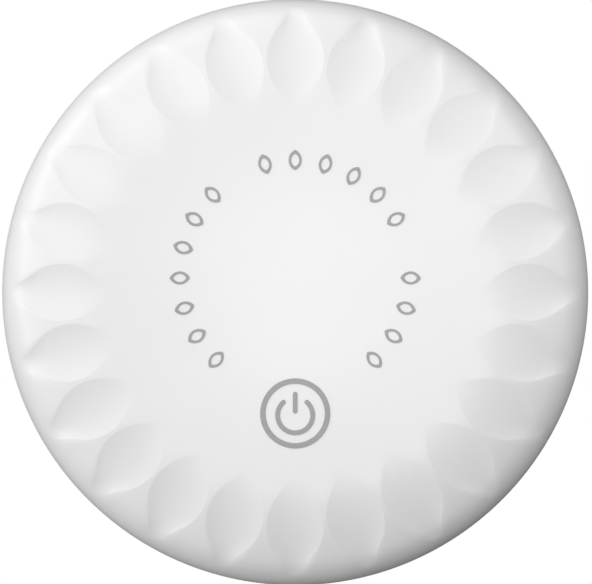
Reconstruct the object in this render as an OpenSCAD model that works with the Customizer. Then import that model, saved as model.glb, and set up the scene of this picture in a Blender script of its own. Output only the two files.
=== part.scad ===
// Round tracker tag with a floating push cover, a clip-fitted rear cover and a coin cell.
// The tag lies on its rear face: +Z comes out of the front face, +Y points to 12 o'clock.

/* [Outside] */
// Diameter over the side band
tag_d = 32; // [31.6:0.2:34]
// Height from the rear face to the front face
tag_h = 8; // [8:0.1:8.6]
// Radius of the flat middle of the front face
face_r = 11; // [10.9:0.02:11.1]
// Height of the front shoulder, from the side band up
shoulder_h = 3; // [2.95:0.01:3.05]
// Radius of the tight arc at the foot of the front shoulder
edge_r = 2.4; // [2.35:0.01:2.45]
// Radius of the flat rear face
rear_face_r = 12.6; // [12.2:0.1:12.8]
// Height of the rear shoulder
rear_shoulder_h = 2.6; // [2.5:0.05:2.7]
// Radius of the tight arc at the top of the rear shoulder
rear_edge_r = 1.8; // [1.7:0.05:1.9]
// Wall of the front cover
wall = 1.15; // [1.1:0.05:1.2]

/* [Scoops] */
// Number of leaf-shaped scoops round the shoulder
scoop_count = 24; // [12:1:24]
// Radius at which a scoop starts on the face
scoop_in_r = 10.1; // [10:0.02:10.5]
// Radius at which a scoop ends near the side band
scoop_out_r = 15.5; // [15.3:0.05:15.6]
// Width of a scoop at its middle
scoop_w = 3.04; // [2.4:0.02:3.06]
// Depth of a scoop at its middle
scoop_depth = 0.14; // [0.1:0.01:0.16]

/* [Print] */
// Thickness of the printed ink
ink_t = 0.02; // [0.01:0.01:0.04]
// Distance of the standby symbol below the middle
symbol_drop = 6.59; // [6.4:0.01:6.8]
// Outer radius of the standby symbol
symbol_r = 1.91; // [1.6:0.01:2]
// Radius of the circle that the ring marks sit on
marks_r = 6.28; // [6:0.01:6.5]
// Length of one ring mark
mark_l = 1.12; // [0.8:0.02:1.3]
// Width of one ring mark
mark_w = 0.72; // [0.5:0.02:0.9]

/* [Push key] */
// Travel of the front cover when it is pressed
key_travel = 0.2; // [0.1:0.01:0.22]
// Height of the rear cover's rim
seam_z = 3.3; // [3.2:0.05:3.3]
// Gap between the two covers at rest
seam_gap = 0.25; // [0.24:0.01:0.3]

/* [Coin cell] */
// Diameter of the coin cell
cell_d = 20; // [19.8:0.05:20]
// Height of the coin cell
cell_h = 3.2; // [3.1:0.05:3.2]
// Height of the cell's underside above the rear face
cell_z = 1.2; // [1.15:0.05:1.2]

/* [Circuit board] */
// Underside of the circuit board
board_z = 4.8; // [4.8:0.02:4.84]
// Thickness of the circuit board
board_t = 0.8; // [0.6:0.1:0.8]
// Radius of the circuit board
board_r = 13.6; // [13.4:0.05:13.6]

/* [Hidden] */
$fn = 96;

eps = 0.5;                              // how far a cutter runs past a face
tag_r = tag_d / 2;
band_top = tag_h - shoulder_h;          // top of the front cover's side band
cover_z = seam_z + seam_gap;            // lower edge of the front cover
cover_in_r = tag_r - wall;
roof_z = tag_h - wall;                  // underside of the front cover's flat middle

floor_t = 0.8;                          // rear cover's floor
cushion_gap = 0.02;                     // free space between the cushion and the cell
rear_in_r = tag_r - 1.37;               // rear cover's inner wall, round the mid frame
rear_well_r = tag_r - 2.4;              // narrower well below the mid frame
rear_step_z = 1.85;                     // step that the mid frame stands over
rib_in_r = 10.3;                        // ring rib round the cell
rib_out_r = 11.1;
rib_top = 1.7;
pry_w = 3.2;                            // pry slot at 6 o'clock
pry_h = 0.45;
pry_depth = 0.8;

frame_z = 1.9;                          // underside of the mid frame
frame_r = tag_r - 1.5;                  // its outer radius, above and below the hook groove
bay_r = cell_d / 2 + 0.35;              // cell bay
hook_groove_r = tag_r - 2.1;            // groove that the front cover's hooks run in
hook_groove_z = 3.45;
flange_z = 4.2;                         // underside of the flange that stops the hooks
core_in_r = 11.6;                       // pockets moulded into the frame from below
core_out_r = 13.1;
core_top = 4;
core_ribs = 12;
stake_angles = [30, 150, 270];          // heat-staked posts through the board
stake_pos_r = 12.3;
stake_r = 0.5;
stake_head_r = 0.85;
stake_head_h = 0.35;

seal_cord_r = 0.3;                      // O-ring section
seal_z = 2.35;
seal_r = tag_r - 1.7;
snap_z = 2.95;                          // snap bead and its groove
bead_r = 0.1;
bead_groove_r = 0.2;

hook_angles = [60, 180, 300];           // hooks inside the front cover's skirt
hook_sweep = 24;
hook_in_r = tag_r - 1.85;
hook_bottom = 3.7;
hook_top = flange_z - 0.02;
guide_angles = [0, 120, 240];           // guide ribs that stop the front cover turning
guide_w = 1.2;
guide_in_r = tag_r - 1.83;
guide_top = board_z - 0.05;
guide_clear = 0.1;

ring_in_r = 13.75;                      // key return ring, on the frame's flange
ring_out_r = 14.25;
ring_top = board_z + 0.8;
board_top = board_z + board_t;

switch_y = -symbol_drop;                // tact switch under the standby symbol
switch_l = 3.2;
switch_w = 2.8;
switch_h = 0.5;
well_floor = board_top + 0.1;
well_r = 1.25;
dome_r = 1.15;
dome_h = 0.27;
dome_t = 0.06;
plate_t = 0.1;
plunger_flange_r = 1.05;
plunger_r = 0.7;
plunger_top = board_top + 0.8;
pip_r = 0.95;                           // actuator pip under the front cover
pip_z = plunger_top + 0.01;

cell_top = cell_z + cell_h;
cell_r = cell_d / 2;
can_t = 0.25;
cap_r = 8.8;
lip_z = cell_top - 0.45;                // underside of the can's crimped lip
lip_top = cell_top - 0.25;
lip_r = 9.3;
cathode_top = cell_z + 2;

contact_angle = 90;                     // positive contact's place round the cell
contact_sweep = 50;
contact_foot_sweep = 24;
contact_t = 0.15;
contact_in_r = cell_r + 0.05;
contact_foot_r = 11.3;
contact_bottom = 2.3;
foot_t = 0.14;

buzzer_y = 2;                           // buzzer disc under the front cover
buzzer_r = 6;
glue_t = 0.1;
brass_t = 0.2;
ceramic_t = 0.2;
ceramic_r = 4.2;
brass_z = roof_z - glue_t - brass_t;
ceramic_z = brass_z - ceramic_t;
spring_r = 0.5;
spring_wire = 0.15;
spring_x = 5.1;                         // outer spring's distance from the buzzer's middle

mark_places = 19;                       // places along the marks' arc, two of them left blank
mark_blanks = [7, 14];
mark_pitch = 15.2;
mark_line = 0.14;
marks_drop_back = 0.91;                 // the marks' circle sits above the middle by this much

// Radius of the wide arc that runs from a flat face into a tight arc without a corner,
// over a shoulder that is a wide and b high, with a tight arc of radius e
function wide_arc(a, b, e) = (a * a + b * b - 2 * a * e) / (2 * (b - e));

function polar(r, angle) = [r * cos(angle), r * sin(angle)];

// Half section of a disc with a flat top and a rounded shoulder
module shoulder_section(out_r, flat_r, top, drop, e) {
    wide = wide_arc(out_r - flat_r, drop, e);
    base = top - drop;
    tight_x = out_r - e;
    join_x = flat_r + (tight_x - flat_r) * wide / (wide - e);
    translate([0, base]) square([flat_r, drop]);
    intersection() {
        translate([flat_r, top - wide]) circle(r = wide);
        translate([flat_r, base]) square([join_x - flat_r, drop]);
    }
    intersection() {
        translate([tight_x, base]) circle(r = e);
        translate([join_x, base]) square([out_r - join_x, drop]);
    }
}

module ring(in_r, out_r, z0, z1) {
    rotate_extrude() translate([in_r, z0]) square([out_r - in_r, z1 - z0]);
}

// Part of a ring, centred on the given angle
module arc_block(in_r, out_r, z0, z1, angle, sweep) {
    rotate([0, 0, angle - sweep / 2])
        rotate_extrude(angle = sweep)
            translate([in_r, z0]) square([out_r - in_r, z1 - z0]);
}

module torus(ring_r, cord_r, z) {
    rotate_extrude() translate([ring_r, z]) circle(r = cord_r);
}

// A small electronic part: a block standing on the board, centred at p and turned
module chip(p, size, turn = 0) {
    translate([p[0], p[1], board_top])
        rotate([0, 0, turn])
            translate([-size[0] / 2, -size[1] / 2, 0]) cube(size);
}

// ---- rear cover ----

module rear_outline() {
    mirror([0, 1])
        shoulder_section(tag_r, rear_face_r, 0, rear_shoulder_h, rear_edge_r);
    translate([0, rear_shoulder_h]) square([tag_r, seam_z - rear_shoulder_h]);
}

module rear_cover() {
    color("whitesmoke") difference() {
        rotate_extrude() difference() {
            rear_outline();
            translate([0, floor_t]) square([rear_well_r, seam_z]);
            translate([0, rear_step_z]) square([rear_in_r, seam_z]);
            translate([rear_in_r, snap_z]) circle(r = bead_groove_r);
        }
        translate([-pry_w / 2, -tag_r - eps, seam_z - pry_h])
            cube([pry_w, pry_depth + eps, pry_h + eps]);
    }
    color("whitesmoke") ring(rib_in_r, rib_out_r, floor_t, rib_top);
}

module battery_cushion() {
    color("dimgray") translate([0, 0, floor_t])
        cylinder(r = 8, h = cell_z - floor_t - cushion_gap);
}

// ---- chassis: mid frame, seals, board and what stands on it ----

module frame_section() {
    difference() {
        translate([bay_r, frame_z]) square([frame_r - bay_r, board_z - frame_z]);
        translate([hook_groove_r, hook_groove_z]) square([frame_r, flange_z - hook_groove_z]);
        translate([seal_r - seal_cord_r, seal_z - seal_cord_r])
            square([frame_r, 2 * seal_cord_r]);
    }
    translate([frame_r, snap_z]) circle(r = bead_r);
}

module frame_cores() {
    difference() {
        ring(core_in_r, core_out_r, frame_z - eps, core_top);
        for (i = [0:core_ribs - 1])
            rotate([0, 0, 360 / core_ribs * (i + 0.5)])
                translate([core_in_r - eps, -0.4, frame_z - 2 * eps])
                    cube([core_out_r - core_in_r + 2 * eps, 0.8, core_top]);
    }
}

module mid_frame() {
    color("gainsboro") difference() {
        rotate_extrude() frame_section();
        frame_cores();
        for (a = guide_angles)
            rotate([0, 0, a])
                translate([guide_in_r - guide_clear, -guide_w / 2 - guide_clear, flange_z - 0.1])
                    cube([2, guide_w + 2 * guide_clear, board_z]);
        arc_block(bay_r - eps, contact_foot_r + 0.1, board_z - foot_t - 0.05, board_z + eps,
                  contact_angle, contact_foot_sweep + 2);
    }
    color("gainsboro") for (a = stake_angles)
        translate(concat(polar(stake_pos_r, a), [board_z - eps])) {
            cylinder(r = stake_r, h = board_t + eps + stake_head_h / 2);
            translate([0, 0, board_t + eps]) cylinder(r = stake_head_r, h = stake_head_h);
        }
}

module rear_seal() {
    color("black") torus(seal_r, seal_cord_r, seal_z);
}

module key_return_ring() {
    color("lightgray") ring(ring_in_r, ring_out_r, board_z, ring_top);
}

module circuit_board() {
    color("darkgreen") difference() {
        translate([0, 0, board_z]) cylinder(r = board_r, h = board_t);
        for (a = stake_angles)
            translate(concat(polar(stake_pos_r, a), [board_z - eps]))
                cylinder(r = stake_r + 0.05, h = board_t + 2 * eps);
    }
}

module radio_chip() {
    color("black") chip([-9, 1.4], [5, 5, 0.8]);
}

module main_crystal() {
    color("silver") chip([-8.4, -3], [2, 1.6, 0.5]);
}

module clock_crystal() {
    color("silver") chip([-8.2, 5.9], [2, 1.2, 0.5]);
}

module chip_antenna() {
    color("lightblue") chip([0, 11.4], [3.2, 1.6, 0.6]);
}

module motion_sensor() {
    color("black") chip([8.4, -4], [2.5, 3, 0.8]);
}

module buzzer_driver() {
    color("black") chip([8.3, 0.2], [2, 2, 0.6]);
}

module boost_inductor() {
    color("gray") chip([8.6, 4], [2.5, 2, 0.8]);
}

module chip_capacitors() {
    color("tan") {
        for (y = [-6.2, -7.6]) chip([-6.4, y], [1.6, 0.8, 0.5]);
        for (i = [0:3]) chip([-3.4 + 1.1 * i, -3.2], [0.5, 1, 0.5]);
        for (i = [0:2]) chip([3.6 + 0.9 * i, 8.6], [0.5, 1, 0.5]);
        for (i = [0:2]) chip([6.4, 6.6 + 0.9 * i], [1, 0.5, 0.5]);
    }
}

module chip_resistors() {
    color("black") {
        for (i = [0:3]) chip([-4.8 + 0.9 * i, 8.4], [0.5, 1, 0.35]);
        for (i = [0:2]) chip([4.4 + 1.1 * i, -6.8], [0.5, 1, 0.35]);
        for (i = [0:1]) chip([-6.2, 7.4 + 0.9 * i], [1, 0.5, 0.35]);
    }
}

module test_pads() {
    color("gold") for (i = [0:5])
        translate([-4 + 1.6 * i, -10.7, board_top]) cylinder(r = 0.5, h = 0.03);
}

// ---- tact switch under the standby symbol ----

module switch_base() {
    color("black") difference() {
        chip([0, switch_y], [switch_l, switch_w, switch_h]);
        translate([0, switch_y, well_floor]) cylinder(r = well_r, h = switch_h);
    }
}

module switch_terminals() {
    color("silver") for (x = [-1, 1], y = [-1, 1])
        chip([x * (switch_l / 2 + 0.3), switch_y + y * 0.9], [0.6, 0.5, 0.12]);
}

module switch_dome() {
    sphere_r = (dome_r * dome_r + dome_h * dome_h) / (2 * dome_h);
    color("silver") translate([0, switch_y, well_floor])
        rotate_extrude() intersection() {
            difference() {
                translate([0, dome_h - sphere_r]) circle(r = sphere_r);
                translate([0, dome_h - sphere_r]) circle(r = sphere_r - dome_t);
            }
            square([dome_r, dome_h]);
        }
}

module switch_cover() {
    color("silver") difference() {
        translate([-switch_l / 2, switch_y - switch_w / 2, board_top + switch_h])
            cube([switch_l, switch_w, plate_t]);
        translate([0, switch_y, board_top]) cylinder(r = plunger_r + 0.08, h = 1);
    }
}

module switch_plunger() {
    flange_top = board_top + switch_h - 0.01;
    color("ivory") translate([0, switch_y, 0]) {
        translate([0, 0, flange_top - plate_t]) cylinder(r = plunger_flange_r, h = plate_t);
        translate([0, 0, flange_top - plate_t])
            cylinder(r = plunger_r, h = plunger_top - flange_top + plate_t);
    }
}

// ---- battery contacts ----

module positive_contact() {
    color("silver") {
        arc_block(contact_in_r, contact_in_r + contact_t, contact_bottom, board_z,
                  contact_angle, contact_sweep);
        arc_block(contact_in_r + contact_t / 2, contact_foot_r, board_z - foot_t, board_z,
                  contact_angle, contact_foot_sweep);
    }
}

module negative_contact() {
    finger_l = 3.6;
    finger_w = 1.4;
    finger_slope = 3.4;
    color("silver") {
        ring(1.8, 3.4, board_z - foot_t, board_z);
        for (a = [90, 210, 330])
            rotate([0, 0, a])
                translate([2.9, -finger_w / 2, board_z - foot_t])
                    rotate([0, finger_slope, 0]) cube([finger_l, finger_w, 0.12]);
    }
}

module insulator_film() {
    color("orange") ring(7.2, 9.8, board_z - 0.08, board_z);
}

module buzzer_spring(x, top) {
    color("gold") translate([x, buzzer_y, 0])
        ring(spring_r - spring_wire, spring_r, board_top, top);
}

module buzzer_spring_inner() {
    buzzer_spring(0, ceramic_z);
}

module buzzer_spring_outer() {
    buzzer_spring(spring_x, brass_z);
}

// ---- push key: front cover, print and buzzer ----

module cover_section(inset) {
    out_r = tag_r - inset;
    shoulder_section(out_r, face_r, tag_h - inset, shoulder_h - inset, edge_r - inset);
    translate([0, cover_z]) square([out_r, band_top - cover_z]);
}

// One scoop: a round trough whose floor runs in an arc from tip to tip, trimmed to a leaf outline
module scoop() {
    tight_x = tag_r - edge_r;
    in_p = [scoop_in_r, tag_h];
    out_p = [scoop_out_r, band_top + sqrt(pow(edge_r, 2) - pow(scoop_out_r - tight_x, 2))];
    chord = norm(out_p - in_p);
    slope = atan2(in_p[1] - out_p[1], out_p[0] - in_p[0]);
    middle = (in_p + out_p) / 2;
    floor_h = scoop_rise(middle, slope) - scoop_depth;
    floor_r = (pow(chord / 2, 2) + floor_h * floor_h) / (2 * floor_h);
    half_w = scoop_w / 2;
    trough_r = (half_w * half_w + scoop_depth * scoop_depth) / (2 * scoop_depth);
    leaf_r = (pow(chord / 2, 2) + half_w * half_w) / (2 * half_w);
    translate([middle[0], 0, middle[1]]) rotate([0, slope, 0]) intersection() {
        translate([0, 0, floor_h - floor_r]) rotate([90, 0, 0])
            rotate_extrude() translate([floor_r + trough_r, 0]) circle(r = trough_r);
        translate([0, 0, -1]) linear_extrude(4) intersection() {
            translate([0, leaf_r - half_w]) circle(r = leaf_r);
            translate([0, half_w - leaf_r]) circle(r = leaf_r);
        }
    }
}

// Height of the shoulder's wide arc above the chord's middle, square to the chord
function scoop_rise(middle, slope) =
    let (wide = wide_arc(tag_r - face_r, shoulder_h, edge_r),
         d = [middle[0] - face_r, middle[1] - (tag_h - wide)],
         along = d[0] * sin(slope) + d[1] * cos(slope))
    sqrt(along * along - d[0] * d[0] - d[1] * d[1] + wide * wide) - along;

module front_cover() {
    color("white") difference() {
        rotate_extrude() difference() {
            cover_section(0);
            cover_section(wall);
        }
        for (i = [0:scoop_count - 1])
            rotate([0, 0, 90 + i * 360 / scoop_count]) scoop();
    }
    color("white") ring(ring_in_r, ring_out_r, ring_top, band_top + 1.6);
    color("white") for (a = hook_angles)
        arc_block(hook_in_r, cover_in_r + 0.3, hook_bottom, hook_top, a, hook_sweep);
    color("white") for (a = guide_angles)
        rotate([0, 0, a])
            translate([guide_in_r, -guide_w / 2, hook_bottom])
                cube([cover_in_r + 0.3 - guide_in_r, guide_w, guide_top - hook_bottom]);
    color("white") translate([0, switch_y, pip_z]) cylinder(r = pip_r, h = roof_z + 0.3 - pip_z);
}

// Open ring with round ends; the gap is centred on +Y
module open_ring(out_r, line, gap) {
    mid_r = out_r - line / 2;
    difference() {
        circle(r = out_r);
        circle(r = out_r - line);
        polygon([[0, 0], 2 * out_r * [-sin(gap), cos(gap)], [0, 3 * out_r],
                 2 * out_r * [sin(gap), cos(gap)]]);
    }
    for (s = [-1, 1]) translate(mid_r * [s * sin(gap), cos(gap)]) circle(r = line / 2);
}

module round_bar(length, line) {
    translate([-line / 2, 0]) square([line, length]);
    for (y = [0, length]) translate([0, y]) circle(r = line / 2);
}

module power_symbol_print() {
    color("gray") translate([0, -symbol_drop, tag_h]) linear_extrude(ink_t) {
        difference() {
            circle(r = symbol_r);
            circle(r = symbol_r - 0.3);
        }
        translate([0, -0.1]) open_ring(1.09, 0.27, 42);
        translate([0, 0.12]) round_bar(0.93, 0.26);
    }
}

// Outline of a leaf with its long way along Y
module leaf(length, width) {
    r = (length * length + width * width) / (4 * width);
    intersection() {
        translate([r - width / 2, 0]) circle(r = r);
        translate([width / 2 - r, 0]) circle(r = r);
    }
}

module ring_marks_print() {
    inner = 1 - 2 * mark_line / mark_w;
    color("gray") translate([0, marks_drop_back, tag_h]) linear_extrude(ink_t)
        for (i = [0:mark_places - 1])
            if (len(search(i, mark_blanks)) == 0)
                rotate([0, 0, (9 - i) * mark_pitch]) translate([0, marks_r]) difference() {
                    leaf(mark_l, mark_w);
                    leaf(mark_l * inner, mark_w * inner);
                }
}

module buzzer_adhesive() {
    color("lightyellow") translate([0, buzzer_y, 0])
        ring(ceramic_r + 0.4, buzzer_r, roof_z - glue_t, roof_z);
}

module buzzer_plate() {
    color("gold") translate([0, buzzer_y, brass_z]) cylinder(r = buzzer_r, h = brass_t);
}

module buzzer_ceramic() {
    color("linen") translate([0, buzzer_y, ceramic_z]) cylinder(r = ceramic_r, h = ceramic_t);
}

// ---- coin cell, plus side down ----

module cell_can() {
    corner = 0.4;
    color("silver") rotate_extrude() {
        difference() {
            translate([0, cell_z]) square([cell_r, lip_top - cell_z]);
            translate([0, cell_z + can_t]) square([cell_r - can_t, lip_z - cell_z - can_t]);
            translate([0, lip_z - eps]) square([lip_r, cell_h]);
            difference() {
                translate([cell_r - corner, cell_z - eps]) square([corner + eps, corner + eps]);
                translate([cell_r - corner, cell_z + corner]) circle(r = corner);
            }
        }
    }
}

module cell_gasket() {
    color("dimgray") {
        ring(cap_r, cell_r - can_t, cathode_top, lip_z);
        ring(cap_r, lip_r, cathode_top, lip_top + 0.03);
    }
}

module cell_cap() {
    corner = 0.3;
    color("silver") rotate_extrude() difference() {
        translate([0, cathode_top + 0.1]) square([cap_r, cell_top - cathode_top - 0.1]);
        translate([0, cathode_top]) square([cap_r - can_t, cell_top - can_t - cathode_top]);
        difference() {
            translate([cap_r - corner, cell_top - corner]) square([corner + eps, corner + eps]);
            translate([cap_r - corner, cell_top - corner]) circle(r = corner);
        }
    }
}

module cell_cathode() {
    color("black") translate([0, 0, cell_z + can_t])
        cylinder(r = cell_r - can_t, h = cathode_top - cell_z - can_t);
}

module cell_anode() {
    color("lightsteelblue") translate([0, 0, cathode_top + 0.1])
        cylinder(r = cap_r - can_t, h = cell_top - can_t - cathode_top - 0.1);
}

rear_cover();
battery_cushion();
mid_frame();
rear_seal();
key_return_ring();
circuit_board();
radio_chip();
main_crystal();
clock_crystal();
chip_antenna();
motion_sensor();
buzzer_driver();
boost_inductor();
chip_capacitors();
chip_resistors();
test_pads();
switch_base();
switch_terminals();
switch_dome();
switch_cover();
switch_plunger();
positive_contact();
negative_contact();
insulator_film();
buzzer_spring_inner();
buzzer_spring_outer();
front_cover();
power_symbol_print();
ring_marks_print();
buzzer_adhesive();
buzzer_plate();
buzzer_ceramic();
cell_can();
cell_gasket();
cell_cap();
cell_cathode();
cell_anode();
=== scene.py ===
import math

import bmesh
import bpy
from mathutils import Matrix, Vector


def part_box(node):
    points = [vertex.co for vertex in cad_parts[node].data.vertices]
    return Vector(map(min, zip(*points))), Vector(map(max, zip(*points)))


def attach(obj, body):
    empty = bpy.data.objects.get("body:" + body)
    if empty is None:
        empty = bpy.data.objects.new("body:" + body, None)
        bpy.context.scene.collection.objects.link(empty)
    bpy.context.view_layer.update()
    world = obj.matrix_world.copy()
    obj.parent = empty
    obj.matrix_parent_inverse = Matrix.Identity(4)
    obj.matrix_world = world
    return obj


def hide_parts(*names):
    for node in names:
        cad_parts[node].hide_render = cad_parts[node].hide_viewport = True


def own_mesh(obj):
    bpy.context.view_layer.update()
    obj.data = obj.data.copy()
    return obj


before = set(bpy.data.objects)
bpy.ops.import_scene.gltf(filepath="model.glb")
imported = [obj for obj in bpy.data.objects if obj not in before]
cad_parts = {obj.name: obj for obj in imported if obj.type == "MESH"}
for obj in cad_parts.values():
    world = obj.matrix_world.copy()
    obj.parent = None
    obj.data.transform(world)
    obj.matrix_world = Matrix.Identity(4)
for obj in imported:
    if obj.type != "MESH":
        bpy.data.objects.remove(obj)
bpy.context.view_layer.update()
mm = 0.001  # lengths below are in millimetres and meshes are in metres
weld = 0.0004 * mm  # points closer together than this are merged
print("frame loaded,", len(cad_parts), "nodes")


# small tools

def cadBox(node):
    low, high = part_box(node)
    return low / mm, high / mm


def newObject(name, data):
    made = bpy.data.objects.new(name, data)
    bpy.context.scene.collection.objects.link(made)
    return made


def assign(piece, body, nodes):
    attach(piece, body)
    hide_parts(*nodes)


def addPiece(name, mesh, body, nodes, materials):
    piece = newObject(name, mesh)
    for material in materials:
        if material.name not in mesh.materials:
            mesh.materials.append(material)
    assign(piece, body, nodes)
    return piece


def shaded(mesh, sharp=35):
    # smooth, but crisp at edges that turn by more than the sharp angle
    mesh.shade_smooth()
    mesh.set_sharp_from_angle(angle=math.radians(sharp))
    return mesh


def meshFrom(bm, name, sharp=35):
    bmesh.ops.remove_doubles(bm, verts=bm.verts, dist=weld)
    bmesh.ops.recalc_face_normals(bm, faces=bm.faces)
    if bm.calc_volume(signed=True) < 0:
        bmesh.ops.reverse_faces(bm, faces=bm.faces)
    mesh = bpy.data.meshes.new(name)
    bm.to_mesh(mesh)
    bm.free()
    return shaded(mesh, sharp)


def addInto(mesh, bm, sharp=35):
    # merges the new shapes, turns their faces outwards and adds them to a finished mesh
    bmesh.ops.remove_doubles(bm, verts=bm.verts, dist=weld)
    bmesh.ops.recalc_face_normals(bm, faces=bm.faces)
    bm.from_mesh(mesh)
    bm.to_mesh(mesh)
    bm.free()
    return shaded(mesh, sharp)


def arcPoints(centre, radius, start, end, steps):
    # angles in degrees, from the +r direction towards +z
    turns = [math.radians(start + (end - start) * i / steps) for i in range(steps + 1)]
    return [(centre[0] + radius * math.cos(a), centre[1] + radius * math.sin(a)) for a in turns]


def rounded(corners, steps=5):
    # corners are (r, z) or (r, z, radius); each one with a radius becomes an arc
    path = []
    for i, corner in enumerate(corners):
        here = Vector(corner[:2])
        radius = corner[2] if len(corner) > 2 else 0
        if not radius:
            path.append(tuple(here))
            continue
        toBack = (Vector(corners[i - 1][:2]) - here).normalized()
        toNext = (Vector(corners[(i + 1) % len(corners)][:2]) - here).normalized()
        half = toBack.angle(toNext) / 2
        middle = here + (toBack + toNext).normalized() * radius / math.sin(half)
        first = here + toBack * radius / math.tan(half) - middle
        last = here + toNext * radius / math.tan(half) - middle
        for k in range(steps + 1):
            path.append(tuple(middle + first.slerp(last, k / steps).normalized() * radius))
    return path


def turnSection(bm, section, segments=192, centre=(0, 0)):
    # a closed section in (r, z) turned round an upright line through centre
    rings = []
    for k in range(segments):
        a = 2 * math.pi * k / segments
        rings.append([bm.verts.new(((centre[0] + r * math.cos(a)) * mm,
                                    (centre[1] + r * math.sin(a)) * mm, z * mm))
                      for r, z in section])
    for k in range(segments):
        here, after = rings[k], rings[(k + 1) % segments]
        for i in range(len(section)):
            j = (i + 1) % len(section)
            if section[i][0] < 1e-6 and section[j][0] < 1e-6:
                continue
            bm.faces.new((here[i], here[j], after[j], after[i]))


def turned(name, section, segments=192, centre=(0, 0)):
    bm = bmesh.new()
    turnSection(bm, section, segments, centre)
    return meshFrom(bm, name)


def addBlock(bm, low, high, bevel=0.04, material=0, turn=0):
    # a box with bevelled edges between two corners
    low, high = Vector(low), Vector(high)
    made = bmesh.ops.create_cube(bm, size=1)
    verts = made["verts"]
    size, middle = high - low, (high + low) / 2
    place = (Matrix.Rotation(math.radians(turn), 4, "Z")
             @ Matrix.Translation(middle * mm) @ Matrix.Diagonal((*(size * mm), 1)))
    bmesh.ops.transform(bm, matrix=place, verts=verts)
    faces = {f for v in verts for f in v.link_faces}
    for face in faces:
        face.material_index = material
    edges = list({e for v in verts for e in v.link_edges})
    bevel = min(bevel, 0.3 * min(size))
    bmesh.ops.bevel(bm, geom=edges, offset=bevel * mm, segments=2, affect="EDGES", profile=0.6)


def islands(node):
    # lowest and highest corner of each separate solid of a CAD node, in millimetres
    bm = bmesh.new()
    bm.from_mesh(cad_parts[node].data)
    bmesh.ops.remove_doubles(bm, verts=bm.verts, dist=0.001 * mm)
    left, boxes = set(bm.verts), []
    while left:
        queue, seen = [left.pop()], []
        while queue:
            vert = queue.pop()
            seen.append(vert.co.copy())
            for edge in vert.link_edges:
                other = edge.other_vert(vert)
                if other in left:
                    left.remove(other)
                    queue.append(other)
        low = Vector([min(c[k] for c in seen) for k in range(3)]) / mm
        high = Vector([max(c[k] for c in seen) for k in range(3)]) / mm
        boxes.append((low, high))
    bm.free()
    return sorted(boxes, key=lambda box: (round(box[0].y, 3), round(box[0].x, 3)))


# nodes: a value given to a socket is a number, a colour or another node's output

def feed(tree, socket, value):
    if isinstance(value, bpy.types.NodeSocket):
        tree.links.new(value, socket)
    else:
        socket.default_value = value


def node(tree, kind, inputs=(), **settings):
    made = tree.nodes.new(kind)
    for label, value in settings.items():
        setattr(made, label, value)
    for label, value in dict(inputs).items():
        feed(tree, made.inputs[label], value)
    return made


def mathIn(tree):
    # calc(operation, a, b, c) for numbers or sockets in this tree
    def calc(operation, *values):
        made = tree.nodes.new("ShaderNodeMath")
        made.operation = operation
        for socket, value in zip(made.inputs, values):
            feed(tree, socket, value)
        return made.outputs[0]
    return calc


def newGroup(name, inputs, outputs):
    group = bpy.data.node_groups.new(name, "ShaderNodeTree")
    for label, (kind, value) in inputs.items():
        socket = group.interface.new_socket(label, in_out="INPUT", socket_type="NodeSocket" + kind)
        if value is not None:
            socket.default_value = value
    for label, kind in outputs.items():
        group.interface.new_socket(label, in_out="OUTPUT", socket_type="NodeSocket" + kind)
    given = group.nodes.new("NodeGroupInput").outputs
    return group, given, group.nodes.new("NodeGroupOutput").inputs


def noise(tree, vector, scale, detail=3, roughness=0.55):
    made = node(tree, "ShaderNodeTexNoise", {"Vector": vector, "Scale": scale, "Detail": detail,
                                             "Roughness": roughness})
    return made.outputs["Fac"]


def bump(tree, height, strength, distance):
    made = node(tree, "ShaderNodeBump", {"Height": height, "Strength": strength,
                                         "Distance": distance * mm})
    return made.outputs["Normal"]


def mapRange(tree, value, **limits):
    # the limits are fromMin, fromMax, toMin and toMax
    words = {"fromMin": "From Min", "fromMax": "From Max", "toMin": "To Min", "toMax": "To Max"}
    inputs = {words[label]: limit for label, limit in limits.items()}
    return node(tree, "ShaderNodeMapRange", {"Value": value, **inputs}).outputs["Result"]


def mixColor(tree, factor, first, second, blend="MIX"):
    made = node(tree, "ShaderNodeMix", {"Factor": factor, "A": first, "B": second},
                data_type="RGBA", blend_type=blend)
    return made.outputs["Result"]


def mouldGrainGroup():
    # fine spark-eroded grain of a moulded part, with slow changes in gloss
    group, given, out = newGroup("mouldGrain", {
        "Vector": ("Vector", None), "Grain scale": ("Float", 9000.0),
        "Grain height": ("Float", 0.1), "Roughness": ("Float", 0.4),
        "Roughness spread": ("Float", 0.06)}, {"Roughness": "Float", "Normal": "Vector"})
    calc = mathIn(group)
    fine = noise(group, given["Vector"], given["Grain scale"], 2)
    slow = calc("SUBTRACT", noise(group, given["Vector"], 160), 0.5)
    rough = calc("MULTIPLY_ADD", slow, given["Roughness spread"], given["Roughness"])
    feed(group, out["Roughness"], rough)
    feed(group, out["Normal"], bump(group, fine, given["Grain height"], 0.004))
    return group


def toneGroup():
    # slow and fine changes of tone round a colour
    group, given, out = newGroup("toneChange", {
        "Vector": ("Vector", None), "Color": ("Color", (1, 1, 1, 1)),
        "Other color": ("Color", (1, 1, 1, 1)), "Scale": ("Float", 300.0),
        "Amount": ("Float", 0.3)}, {"Color": "Color"})
    cloud = noise(group, given["Vector"], given["Scale"], 4)
    share = mapRange(group, cloud, fromMin=0.35, fromMax=0.7, toMax=given["Amount"])
    feed(group, out["Color"], mixColor(group, share, given["Color"], given["Other color"]))
    return group


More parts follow.
